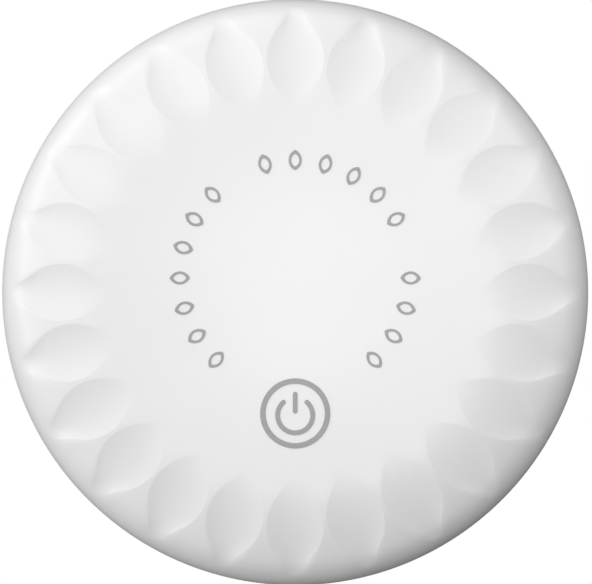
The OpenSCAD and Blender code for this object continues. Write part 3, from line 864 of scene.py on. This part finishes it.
def frameMesh():
    f = midFrame
    path = rounded([
        (f["bay"], f["bottom"], 0.12), (f["coreInner"], f["bottom"], 0.06),
        (f["coreInner"], f["coreTop"], 0.15), (f["coreOuter"], f["coreTop"], 0.15),
        (f["coreOuter"], f["bottom"], 0.06), (f["radius"], f["bottom"], 0.05),
        (f["radius"], f["sealFoot"], 0.03), (f["sealGroove"], f["sealFoot"], 0.05),
        (f["sealGroove"], f["sealTop"], 0.05), (f["radius"], f["sealTop"], 0.05),
        (f["radius"], 2.84)], 4)
    path += arcPoints((f["radius"], 2.95), 0.1, -70, 70, 8)
    path += rounded([
        (f["radius"], 3.1), (f["radius"], f["hookFoot"], 0.05),
        (f["hookGroove"], f["hookFoot"], 0.05),
        (f["hookGroove"], f["hookTop"], 0.05), (f["radius"], f["hookTop"], 0.05),
        (f["radius"], f["top"], 0.08), (f["bay"], f["top"], 0.08)], 4)
    body = turned("frameBody", path, 256)
    cutters = [blockMesh((14.07, -0.7, 4.1), (16, 0.7, 9), 0.05, a)
               for a in coverInside["guideAngles"]]
    bm = bmesh.new()
    sweptBlock(bm, [(9.8, 4.61), (11.4, 4.61), (11.4, 5.3), (9.8, 5.3)], 90 - 13, 90 + 13)
    cutters.append(meshFrom(bm, "footRecess"))
    body = cut(body, cutters)
    bm = bmesh.new()
    for k in range(f["ribs"]):
        addBlock(bm, (f["coreInner"] - 0.1, -0.4, f["bottom"] + 0.1),
                 (f["coreOuter"] + 0.1, 0.4, f["coreTop"] + 0.1), 0.06, 0, 30 * (k + 0.5))
    for a in f["stakeAngles"]:
        x, y = (f["stakePlace"] * turn(math.radians(a)) for turn in (math.cos, math.sin))
        head = rounded([(0, 4.6), (f["stakeRadius"], 4.6), (f["stakeRadius"], f["headFoot"]),
                        (f["headRadius"], f["headFoot"], 0.06),
                        (f["headRadius"], f["headTop"], 0.3), (0, f["headTop"])], 6)
        turnSection(bm, head, 40, (x, y))
    return addInto(body, bm)


addPiece("midFrame", frameMesh(), "chassis", ["mid_frame"],
         [paint["charcoalFrame"]])

# rear seal: an O-ring with its moulding line
seal = dict(radius=14.3, cord=0.3, height=2.35, line=0.012)
sealPath = []
for k in range(32):
    a = 2 * math.pi * k / 32
    bulge = seal["line"] if k % 16 == 0 else 0
    sealPath.append((seal["radius"] + (seal["cord"] - seal["line"] + bulge) * math.cos(a),
                     seal["height"] + (seal["cord"] - seal["line"]) * math.sin(a)))
addPiece("rearSeal", turned("rearSealMesh", sealPath, 256), "chassis",
         ["rear_seal"], [paint["sealSilicone"]])

# key return ring: a waisted silicone ring between the frame's flange and the cover's rib
ringSize = dict(inner=13.75, outer=14.25, foot=4.8, top=5.6, waist=0.08, waistHalf=0.18)
r = ringSize
middle = (r["foot"] + r["top"]) / 2
returnPath = rounded([
    (r["inner"], r["foot"], 0.08), (r["outer"], r["foot"], 0.08),
    (r["outer"], middle - r["waistHalf"]), (r["outer"] - r["waist"], middle, 0.1),
    (r["outer"], middle + r["waistHalf"]), (r["outer"], r["top"], 0.1),
    (r["inner"], r["top"], 0.1), (r["inner"], middle + r["waistHalf"]),
    (r["inner"] + r["waist"], middle, 0.1), (r["inner"], middle - r["waistHalf"])], 4)
returnRing = addPiece("keyReturnRing", turned("keyReturnRingMesh", returnPath, 256), "chassis",
                      ["key_return_ring"], [paint["ringSilicone"]])
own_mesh(returnRing)
print("cushion, frame and seals made")


# circuit board: soldermask over a pattern of traces, holes for the frame's posts
def boardMaterial():
    material, tree, shader, place = startMaterial("boardLaminate")
    calc = mathIn(tree)
    patches = node(tree, "ShaderNodeTexVoronoi", {"Vector": place, "Scale": 1400},
                   feature="F1", distance="CHEBYCHEV").outputs["Distance"]
    gaps = node(tree, "ShaderNodeTexVoronoi", {"Vector": place, "Scale": 700},
                feature="DISTANCE_TO_EDGE").outputs["Distance"]
    copper = calc("MULTIPLY", mapRange(tree, gaps, fromMin=0.05, fromMax=0.075),
                  mapRange(tree, patches, fromMin=0.42, fromMax=0.46))
    mask = mixColor(tree, copper, (0.01, 0.075, 0.03, 1), (0.014, 0.12, 0.045, 1))
    # the cut edge shows the bare laminate
    shape = node(tree, "ShaderNodeNewGeometry").outputs["True Normal"]
    upright = node(tree, "ShaderNodeSeparateXYZ", {0: shape}).outputs["Z"]
    isEdge = calc("LESS_THAN", calc("ABSOLUTE", upright), 0.7)
    feed(tree, shader["Base Color"], mixColor(tree, isEdge, mask, (0.38, 0.34, 0.16, 1)))
    feed(tree, shader["Normal"], bump(tree, copper, 0.6, 0.02))
    shader["Roughness"].default_value = 0.32
    return material


paint["boardLaminate"] = boardMaterial()
board = dict(radius=13.6, bottom=4.8, top=5.6, holeRadius=0.55)
boardBody = turned("boardBody", rounded([
    (0, board["bottom"]), (board["radius"], board["bottom"], 0.03),
    (board["radius"], board["top"], 0.03), (0, board["top"])], 2), 192)
holes = []
for a in midFrame["stakeAngles"]:
    x, y = (midFrame["stakePlace"] * f(math.radians(a)) for f in (math.cos, math.sin))
    holes.append(rodMesh(x, y, board["holeRadius"], 4.3, 6.2, 40))
addPiece("circuitBoard", cut(boardBody, holes), "chassis", ["circuit_board"],
         [paint["boardLaminate"]])


def pieceOf(name, bm, body, nodes, materials):
    return addPiece(name, meshFrom(bm, name + "Mesh"), body, nodes, materials)


# leadless chips: a moulded body over a row of pads that show at its foot
def chipTree():
    tree, value = newTree("chipPads", Int=("Count",), Float=("Pitch", "Half side"),
                          Vector=("Centre", "Pad size"), Material=("Finish",))
    calc = mathIn(tree)
    index = node(tree, "GeometryNodeInputIndex").outputs[0]
    side = calc("FLOOR", calc("DIVIDE", index, value["Count"]))
    along = calc("SUBTRACT", calc("FLOORED_MODULO", index, value["Count"]),
                 calc("DIVIDE", calc("SUBTRACT", value["Count"], 1), 2))
    turn = calc("MULTIPLY", side, math.pi / 2)
    spot = vector(tree, calc("MULTIPLY", along, value["Pitch"]), value["Half side"])
    swung = node(tree, "ShaderNodeVectorRotate", {"Vector": spot, "Angle": turn},
                 rotation_type="Z_AXIS")
    place = node(tree, "ShaderNodeVectorMath", {0: swung.outputs[0], 1: value["Centre"]},
                 operation="ADD")
    spots = node(tree, "GeometryNodePoints", {"Count": calc("MULTIPLY", value["Count"], 4),
                                              "Position": place.outputs[0]})
    pad = node(tree, "GeometryNodeMeshCube", {"Size": value["Pad size"]})
    pads = copiesAt(tree, spots.outputs[0], pad.outputs["Mesh"], turn)
    joined = node(tree, "GeometryNodeJoinGeometry")
    tree.links.new(value["Geometry"], joined.inputs[0])
    tree.links.new(painted(tree, pads, value["Finish"]), joined.inputs[0])
    return endTree(tree, joined.outputs[0])


chips = {
    # CAD node, pads on each side, pad pitch
    "radioChip": ("radio_chip", 10, 0.42), "motionSensor": ("motion_sensor", 4, 0.5),
    "buzzerDriver": ("buzzer_driver", 4, 0.42),
}
padTree = chipTree()
for name, (cadNode, count, pitch) in chips.items():
    low, high = cadBox(cadNode)
    middle = (low + high) / 2
    side = min(high.x - low.x, high.y - low.y) / 2
    bm = bmesh.new()
    addBlock(bm, (low.x + 0.02, low.y + 0.02, low.z + 0.03),
             (high.x - 0.02, high.y - 0.02, high.z), 0.05)
    body = meshFrom(bm, name + "Body")
    dimple = rodMesh(low.x + 0.5, high.y - 0.5, 0.22, high.z - 0.04, high.z + 0.3, 24)
    piece = newObject(name, cut(body, [dimple]))
    piece.data.materials.append(paint["chipEpoxy"])
    runTree(piece, padTree, {
        "Count": count, "Pitch": pitch * mm, "Half side": (side - 0.16) * mm,
        "Centre": (middle.x * mm, middle.y * mm, (low.z + 0.06) * mm),
        "Pad size": (0.2 * mm, 0.32 * mm, 0.12 * mm), "Finish": paint["tinPlate"]})
    assign(piece, "chassis", [cadNode])

# crystals: a metal lid seam-welded on a ceramic base
for name, cadNode in (("mainCrystal", "main_crystal"), ("clockCrystal", "clock_crystal")):
    low, high = cadBox(cadNode)
    bm = bmesh.new()
    addBlock(bm, low, (high.x, high.y, low.z + 0.3), 0.05, 1)
    addBlock(bm, (low.x + 0.12, low.y + 0.12, low.z + 0.28),
             (high.x - 0.12, high.y - 0.12, high.z), 0.06)
    pieceOf(name, bm, "chassis", [cadNode],
            [paint["tinPlate"], paint["piezoCeramic"]])


# blocks with metal end caps stand for antenna, inductor, capacitors and resistors
def cappedBlock(bm, low, high, capShare=0.24):
    alongX = high.x - low.x > high.y - low.y
    axis = 0 if alongX else 1
    cap = (high[axis] - low[axis]) * capShare
    inset = 0.025
    first, last = Vector(low), Vector(high)
    first[axis] += cap * 0.5
    last[axis] -= cap * 0.5
    thin = Vector((inset, inset, inset))
    thin[axis] = 0
    addBlock(bm, first + thin, last - thin, 0.03, 0)
    paintedShadowEnd, paintedFalloffStart = Vector(high), Vector(low)
    paintedShadowEnd[axis] = low[axis] + cap
    paintedFalloffStart[axis] = high[axis] - cap
    addBlock(bm, low, paintedShadowEnd, 0.05, 1)
    addBlock(bm, paintedFalloffStart, high, 0.05, 1)


for name, cadNode, slotName, finish, share in (
        ("chipAntenna", "chip_antenna", "antenna_ceramic", "antennaCeramic", 0.14),
        ("boostInductor", "boost_inductor", "inductor_ferrite", "ferrite", 0.2),
        ("chipCapacitors", "chip_capacitors", "capacitor_body", "capacitorCeramic", 0.26),
        ("chipResistors", "chip_resistors", "resistor_body", "resistorGlaze", 0.24)):
    bm = bmesh.new()
    for low, high in islands(cadNode):
        cappedBlock(bm, low, high, share)
    pieceOf(name, bm, "chassis", [cadNode], [paint[finish], paint["tinPlate"]])

bm = bmesh.new()
for low, high in islands("test_pads"):
    middle = (low + high) / 2
    pad = rounded([(0, low.z), (0.5, low.z), (0.5, high.z, 0.02), (0, high.z)], 3)
    turnSection(bm, pad, 32, (middle.x, middle.y))
pieceOf("testPads", bm, "chassis", ["test_pads"], [paint["goldPlate"]])
print("board and its parts made")

# push switch under the symbol
switchPlace = dict(y=-6.59, length=3.2, width=2.8, foot=5.6, bodyTop=6.1, wellFloor=5.7,
                   wellRadius=1.25, plateTop=6.2, plateHole=0.78, domeRadius=1.15, domeHeight=0.27,
                   domeWall=0.06, plungerFoot=5.99, plungerTop=6.4, plungerRadius=0.7,
                   flangeRadius=1.05, flangeTop=6.09)
p = switchPlace
base = blockMesh((-p["length"] / 2, p["y"] - p["width"] / 2, p["foot"]),
                 (p["length"] / 2, p["y"] + p["width"] / 2, p["bodyTop"]), 0.06)
well = rodMesh(0, p["y"], p["wellRadius"], p["wellFloor"], 7)
addPiece("switchBase", cut(base, [well]), "chassis", ["switch_base"],
         [paint["switchPlastic"]])
plate = blockMesh((-p["length"] / 2, p["y"] - p["width"] / 2, p["bodyTop"]),
                  (p["length"] / 2, p["y"] + p["width"] / 2, p["plateTop"]), 0.03)
addPiece("switchCover", cut(plate, [rodMesh(0, p["y"], p["plateHole"], 5.8, 6.5)]), "chassis",
         ["switch_cover"], [paint["tinPlate"]])
ball = (p["domeRadius"] ** 2 + p["domeHeight"] ** 2) / (2 * p["domeHeight"])
reach = math.degrees(math.asin(p["domeRadius"] / ball))
centre = (0, p["wellFloor"] + p["domeHeight"] - ball)
inside = math.degrees(math.acos((ball - p["domeHeight"]) / (ball - p["domeWall"])))
domePath = arcPoints(centre, ball, 90 - reach, 90, 16)
domePath += arcPoints(centre, ball - p["domeWall"], 90, 90 - inside, 16)
dome = addPiece("switchDome", turned("switchDomeMesh", domePath, 64, (0, p["y"])), "chassis",
                ["switch_dome"], [paint["domeSteel"]])
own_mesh(dome)
plungerPath = rounded([
    (0, p["plungerFoot"]), (p["flangeRadius"], p["plungerFoot"], 0.03),
    (p["flangeRadius"], p["flangeTop"], 0.03), (p["plungerRadius"], p["flangeTop"]),
    (p["plungerRadius"], p["plungerTop"], 0.1), (0, p["plungerTop"])], 5)
addPiece("switchPlunger", turned("switchPlungerMesh", plungerPath, 64, (0, p["y"])),
         "switch_button", ["switch_plunger"], [paint["plungerPlastic"]])
bm = bmesh.new()
for low, high in islands("switch_terminals"):
    addBlock(bm, low, high, 0.04)
pieceOf("switchTerminals", bm, "chassis", ["switch_terminals"], [paint["tinPlate"]])

# battery contacts, cut and bent from thin strip
sideStrip = dict(inner=10.05, outer=10.2, foot=2.3, top=4.8, sweep=50, tabInner=10.12,
                 tabOuter=11.3, tabFoot=4.66, tabSweep=24)
c = sideStrip
bm = bmesh.new()
sweptBlock(bm, rounded([(c["inner"], c["foot"], 0.04), (c["outer"], c["foot"], 0.04),
                        (c["outer"], c["top"], 0.05), (c["inner"], c["top"], 0.05)], 3),
           90 - c["sweep"] / 2, 90 + c["sweep"] / 2, 30)
sweptBlock(bm, rounded([(c["tabInner"], c["tabFoot"]), (c["tabOuter"], c["tabFoot"], 0.04),
                        (c["tabOuter"], c["top"], 0.04), (c["tabInner"], c["top"])], 3),
           90 - c["tabSweep"] / 2, 90 + c["tabSweep"] / 2, 16)
pieceOf("positiveContact", bm, "chassis", ["positive_contact"],
        [paint["contactSteel"]])


def fingerTree():
    # fingers round the ring, each a bent strip
    tree, value = newTree("contactFingers", Int=("Count",), Float=("First angle",),
                          Material=("Finish",))
    calc = mathIn(tree)
    index = node(tree, "GeometryNodeInputIndex").outputs[0]
    turn = calc("ADD", calc("MULTIPLY", calc("DIVIDE", 2 * math.pi, value["Count"]), index),
                value["First angle"])
    spots = node(tree, "GeometryNodePoints", {"Count": value["Count"]})
    fingers = copiesAt(tree, spots.outputs[0], value["Geometry"], turn)
    return endTree(tree, painted(tree, fingers, value["Finish"]))


finger = dict(start=2.9, length=3.6, width=1.4, thickness=0.12, slope=3.4, tipShare=0.2,
              tipLift=0.05, foot=4.66, count=3, ringInner=1.8, ringOuter=3.4, ringTop=4.8)


def fingerMesh():
    bm = bmesh.new()
    rows = []
    for k in range(21):
        share = k / 20
        x = finger["start"] + finger["length"] * share
        foot = finger["foot"] - math.tan(math.radians(finger["slope"])) * (x - finger["start"])
        tip = max(0, (share - 1 + finger["tipShare"]) / finger["tipShare"])
        half = finger["width"] / 2 * (1 - 0.2 * share) * math.sqrt(max(0.02, 1 - tip ** 2))
        lift = finger["tipLift"] * tip ** 2  # the tip turns up a little
        rows.append([bm.verts.new((x * mm, y * mm, z * mm)) for y, z in
                     ((-half, foot + lift), (half, foot + lift),
                      (half, foot + lift + finger["thickness"]),
                      (-half, foot + lift + finger["thickness"]))])
    for here, after in zip(rows, rows[1:]):
        for i in range(4):
            j = (i + 1) % 4
            bm.faces.new((here[i], here[j], after[j], after[i]))
    bm.faces.new(rows[0])
    bm.faces.new(rows[-1][::-1])
    return meshFrom(bm, "fingerMesh", 30)


negativeContact = newObject("negativeContact", fingerMesh())
runTree(negativeContact, fingerTree(), {
    "Count": finger["count"], "First angle": math.radians(90), "Finish": paint["contactSteel"]})
bm = bmesh.new()
turnSection(bm, rounded([
    (finger["ringInner"], finger["foot"], 0.03), (finger["ringOuter"], finger["foot"], 0.03),
    (finger["ringOuter"], finger["ringTop"], 0.03), (finger["ringInner"], finger["ringTop"], 0.03)],
    2), 96)
addInto(negativeContact.data, bm, 30)
assign(negativeContact, "chassis", ["negative_contact"])


# insulating film: thin amber plastic with a gloss
def filmMaterial():
    material, tree, shader, place = startMaterial("insulatorFilm")
    skin = placeGroup(tree, grain, place, Grain_scale=3000, Grain_height=0.2, Roughness=0.25,
                      Roughness_spread=0.15)
    coat(tree, shader, skin, place, (0.75, 0.36, 0.05), (0.6, 0.27, 0.03), 500, 0.7)
    shader["Coat Weight"].default_value = 0.5
    return material


film = dict(inner=7.2, outer=9.8, foot=4.72, top=4.8, edge=0.02)
filmPath = rounded([(film[side], film[level], film["edge"]) for side, level in (
    ("inner", "foot"), ("outer", "foot"), ("outer", "top"), ("inner", "top"))], 2)
addPiece("insulatorFilm", turned("insulatorFilmMesh", filmPath, 192), "chassis",
         ["insulator_film"], [filmMaterial()])
print("switch and contacts made")

# buzzer: a ceramic disc on a brass plate, held by an adhesive ring, fed by two coil springs
buzzer = dict(y=2.0, radius=6.0, ceramicRadius=4.2, electrodeRadius=3.9, glueRadius=4.6,
              ceramicFoot=6.35, plateFoot=6.55, plateTop=6.75, glueTop=6.85, springX=5.1,
              boardTop=5.6, coil=0.425, wire=0.15, turns=4)
b = buzzer
addPiece("buzzerAdhesive", turned("buzzerAdhesiveMesh", rounded([
    (b["glueRadius"], b["plateTop"], 0.02), (b["radius"], b["plateTop"], 0.02),
    (b["radius"], b["glueTop"], 0.02), (b["glueRadius"], b["glueTop"], 0.02)], 2), 128,
    (0, b["y"])), "front_key", ["buzzer_adhesive"], [paint["glueTape"]])
addPiece("buzzerPlate", turned("buzzerPlateMesh", rounded([
    (0, b["plateFoot"]), (b["radius"], b["plateFoot"], 0.05), (b["radius"], b["plateTop"], 0.05),
    (0, b["plateTop"])], 4), 128, (0, b["y"])),
    "front_key", ["buzzer_plate"], [paint["sheetBrass"]])
ceramicMesh = turned("buzzerCeramicMesh", rounded([
    (0, b["ceramicFoot"]), (b["electrodeRadius"], b["ceramicFoot"]),
    (b["ceramicRadius"], b["ceramicFoot"] + 0.01, 0.03), (b["ceramicRadius"], b["plateFoot"]),
    (0, b["plateFoot"])], 3), 128, (0, b["y"]))
addPiece("buzzerCeramic", ceramicMesh, "front_key", ["buzzer_ceramic"],
         [paint["piezoCeramic"], paint["silverPaste"]])
# the silver electrode is the flat underside
for face in ceramicMesh.polygons:
    away = (face.center - Vector((0, b["y"] * mm, b["ceramicFoot"] * mm))).length
    if face.normal.z < -0.99 and away < (b["electrodeRadius"] + 0.01) * mm:
        face.material_index = 1


def springTree():
    tree, value = newTree("coilSpring", Float=("Turns", "Coil radius", "Wire", "Height"),
                          Vector=("Foot",), Material=("Finish",))
    calc = mathIn(tree)
    spiral = node(tree, "GeometryNodeCurveSpiral", {
        "Resolution": 28, "Rotations": value["Turns"], "Start Radius": value["Coil radius"],
        "End Radius": value["Coil radius"],
        "Height": calc("SUBTRACT", value["Height"], value["Wire"])})
    wireRadius = calc("DIVIDE", value["Wire"], 2)
    circle = node(tree, "GeometryNodeCurvePrimitiveCircle", {
        "Resolution": 12, "Radius": wireRadius})
    wire = node(tree, "GeometryNodeCurveToMesh", {
        "Curve": spiral.outputs[0], "Profile Curve": circle.outputs["Curve"], "Fill Caps": True})
    place = node(tree, "ShaderNodeVectorMath", {0: value["Foot"], 1: vector(tree, z=wireRadius)},
                 operation="ADD")
    moved = node(tree, "GeometryNodeTransform", {"Geometry": wire.outputs[0],
                                                 "Translation": place.outputs[0]})
    smooth = node(tree, "GeometryNodeSetShadeSmooth", {"Geometry": moved.outputs[0]})
    real = node(tree, "GeometryNodeRealizeInstances", {"Geometry": smooth.outputs[0]})
    return endTree(tree, painted(tree, real.outputs[0], value["Finish"]))


coils = springTree()
for name, cadNode, x, height, keep in (
        ("buzzerSpringInner", "buzzer_spring_inner", 0, 0.75, 0.73),
        ("buzzerSpringOuter", "buzzer_spring_outer", b["springX"], 0.95, 0.79)):
    spring = sectionPiece(name, [(0, 0)])
    runTree(spring, coils, {
        "Turns": b["turns"], "Coil radius": b["coil"] * mm, "Wire": b["wire"] * mm,
        "Height": height * mm, "Foot": (x * mm, b["y"] * mm, b["boardTop"] * mm),
        "Finish": paint["goldPlate"]})
    assign(spring, "chassis", [cadNode])
    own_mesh(spring)
print("buzzer made")

# coin cell, plus side down; the gasket seals the cap into the can
cell = dict(radius=10.0, bottom=1.2, footRadius=7.6, footStep=0.03, lipTop=4.15, lipBottom=3.95,
            lipRadius=9.3, wall=0.25, fillRadius=9.75, capRadius=8.8, capInner=8.55, top=4.4,
            cathodeBottom=1.45, cathodeTop=3.2, gasketTop=4.18, anodeBottom=3.3, anodeTop=4.15)
k = cell
addPiece("cellCan", turned("cellCanMesh", rounded([
    (0, k["bottom"]), (k["footRadius"], k["bottom"]),
    (k["footRadius"] + 0.1, k["bottom"] + k["footStep"], 0.02),
    (k["radius"], k["bottom"] + k["footStep"], 0.4), (k["radius"], k["lipTop"], 0.18),
    (k["lipRadius"], k["lipTop"], 0.08), (k["lipRadius"], k["lipBottom"], 0.08),
    (k["radius"] - k["wall"], k["lipBottom"], 0.03),
    (k["radius"] - k["wall"], k["bottom"] + k["wall"], 0.15),
    (0, k["bottom"] + k["wall"])], 6), 256),
    "coin_cell", ["cell_can"], [paint["cellSteel"]])
addPiece("cellGasket", turned("cellGasketMesh", rounded([
    (k["capRadius"], k["cathodeTop"]), (k["fillRadius"], k["cathodeTop"], 0.05),
    (k["fillRadius"], k["lipBottom"], 0.03), (k["lipRadius"], k["lipBottom"], 0.03),
    (k["lipRadius"], k["gasketTop"], 0.05), (k["capRadius"], k["gasketTop"], 0.05)], 4), 256),
    "coin_cell", ["cell_gasket"], [paint["gasketPlastic"]])
addPiece("cellCap", turned("cellCapMesh", rounded([
    (k["capInner"], k["anodeBottom"]), (k["capRadius"], k["anodeBottom"]),
    (k["capRadius"], k["top"] - 0.03, 0.3), (7.9, k["top"] - 0.03, 0.05), (7.75, k["top"], 0.05),
    (0, k["top"]), (0, k["anodeTop"]), (k["capInner"], k["anodeTop"], 0.15)], 6), 256),
    "coin_cell", ["cell_cap"], [paint["capSteel"]])
addPiece("cellCathode", turned("cellCathodeMesh", rounded([
    (0, k["cathodeBottom"]), (k["fillRadius"], k["cathodeBottom"], 0.15),
    (k["fillRadius"], k["cathodeTop"], 0.1), (0, k["cathodeTop"])], 4), 128),
    "coin_cell", ["cell_cathode"], [paint["cathodePellet"]])
addPiece("cellAnode", turned("cellAnodeMesh", rounded([
    (0, k["anodeBottom"]), (k["capInner"], k["anodeBottom"], 0.05),
    (k["capInner"], k["anodeTop"], 0.15), (0, k["anodeTop"])], 4), 128),
    "coin_cell", ["cell_anode"], [paint["lithium"]])
print("coin cell made")


# floor, camera and lights
# the floor lies just under the tag, so that the two faces don't meet; the camera sees it glowing
# white round the tag, with a painted shadow where the tag stands and painted light that falls off
# to pale grey further out
floorLook = dict(halfSide=600, drop=0.01, paint=0.12, paintedShadowStart=12.6, paintedShadowEnd=16.4, paintedShadowLevel=0.3,
                 paintedFalloffStart=22.8, paintedFalloffEnd=60, paintedFalloffLevel=0.72)


def addFloor():
    f = floorLook
    half, top = f["halfSide"] * mm, -f["drop"] * mm
    mesh = bpy.data.meshes.new("floorMesh")
    mesh.from_pydata([(-half, -half, top), (half, -half, top), (half, half, top),
                      (-half, half, top)], [], [(0, 1, 2, 3)])
    material, tree, shader, place = startMaterial("paleFloorPaintedShade")
    shader["Base Color"].default_value = (*[f["paint"]] * 3, 1)  # what it throws back is held down
    shader["Roughness"].default_value = 1
    away = node(tree, "ShaderNodeVectorMath", {0: place}, operation="LENGTH").outputs["Value"]
    # painted light on the floor: a painted shadow ramps in under the tag's rim, and a painted pool
    # of light fades to pale grey further out
    paintedShadeLevels = [node(tree, "ShaderNodeMapRange", {
        "Value": away, "From Min": start * mm, "From Max": end * mm, "To Min": low, "To Max": high},
        interpolation_type="SMOOTHERSTEP").outputs["Result"] for start, end, low, high in (
            (f["paintedShadowStart"], f["paintedShadowEnd"], f["paintedShadowLevel"], 1),
            (f["paintedFalloffStart"], f["paintedFalloffEnd"], 1, f["paintedFalloffLevel"]))]
    # the camera sees the floor glow at these painted shade levels
    paintedFloorGlow = node(tree, "ShaderNodeEmission", {"Strength": mathIn(tree)("MULTIPLY", *paintedShadeLevels)})
    seen = node(tree, "ShaderNodeLightPath").outputs["Is Camera Ray"]
    mix = node(tree, "ShaderNodeMixShader", {
        "Fac": seen, 1: tree.nodes["Principled BSDF"].outputs[0], 2: paintedFloorGlow.outputs[0]})
    feed(tree, tree.nodes["Material Output"].inputs["Surface"], mix.outputs[0])
    mesh.materials.append(material)
    newObject("paleFloor", mesh)


addFloor()

# the cover's disc fills this share of the frame's width
view = dict(lens=800, sensor=36, centre=(0.044, 0.016), radiusShare=293 / 592, clip=(0.01, 10))
cameraData = bpy.data.cameras.new("camera")
cameraData.lens, cameraData.sensor_width = view["lens"], view["sensor"]
cameraData.clip_start, cameraData.clip_end = view["clip"]
camera = newObject("camera", cameraData)
distance = cover["radius"] / view["radiusShare"] * view["lens"] / view["sensor"] + cover["bandTop"]
camera.location = (view["centre"][0] * mm, view["centre"][1] * mm, distance * mm)
bpy.context.scene.camera = camera

lights = {
    # azimuth clockwise from 12 o'clock, elevation, distance, size in millimetres, power in watts
    "lowSoftbox": dict(azimuth=300, elevation=12, distance=400, size=200, power=0.419),
    "leftSoftbox": dict(azimuth=270, elevation=30, distance=400, size=200, power=0.455),
    "highSoftbox": dict(azimuth=300, elevation=68, distance=400, size=200, power=0.363),
    "rimLamp": dict(azimuth=0, elevation=20, distance=60, size=30, power=0.00319),
    "rimLampLeft": dict(azimuth=330, elevation=20, distance=60, size=30, power=0.00264),
    "rightLamp": dict(azimuth=60, elevation=40, distance=60, size=30, power=0.00619),
    "sideLamp": dict(azimuth=90, elevation=40, distance=60, size=30, power=0.0019),
    "frontLamp": dict(azimuth=210, elevation=40, distance=60, size=30, power=0.00159),
}
spots = {
    # straight above, fading out at the reach
    "overheadSpot": dict(height=400, reach=32, size=20, power=0.73),
    "centreSpot": dict(height=400, reach=8.2, size=2, power=0.155),
}
worldLevel, backdropLevel = 0.249, 0.72


def addLamp(name, data, place):
    lamp = newObject(name, data)
    lamp.location = place
    lamp.visible_camera = False
    return lamp


for name, look in lights.items():
    data = bpy.data.lights.new(name, "AREA")
    data.shape, data.size, data.energy = "SQUARE", look["size"] * mm, look["power"]
    azimuth, elevation = math.radians(90 - look["azimuth"]), math.radians(look["elevation"])
    aim = Vector((math.cos(elevation) * math.cos(azimuth), math.cos(elevation) * math.sin(azimuth),
                  math.sin(elevation)))
    lamp = addLamp(name, data, aim * look["distance"] * mm)
    lamp.rotation_euler = aim.to_track_quat("Z", "Y").to_euler()
for name, look in spots.items():
    data = bpy.data.lights.new(name, "SPOT")
    data.energy, data.shadow_soft_size, data.spot_blend = look["power"], look["size"] * mm, 1
    data.spot_size = 2 * math.atan(look["reach"] / (look["height"] - cover["faceHeight"]))
    addLamp(name, data, (0, 0, look["height"] * mm))

world = bpy.data.worlds.new("studio")
bpy.context.scene.world = world
world.use_nodes = True
sky = world.node_tree
# the backdrop is pale grey, and lights less than it shows
skySeen = node(sky, "ShaderNodeLightPath").outputs["Is Camera Ray"]
skyLevel = mapRange(sky, skySeen, toMin=worldLevel, toMax=backdropLevel)
feed(sky, sky.nodes["Background"].inputs["Strength"], skyLevel)
sky.nodes["Background"].inputs["Color"].default_value = (1, 1, 1, 1)
bpy.context.scene.view_settings.view_transform = "Standard"
print("camera and lights placed")
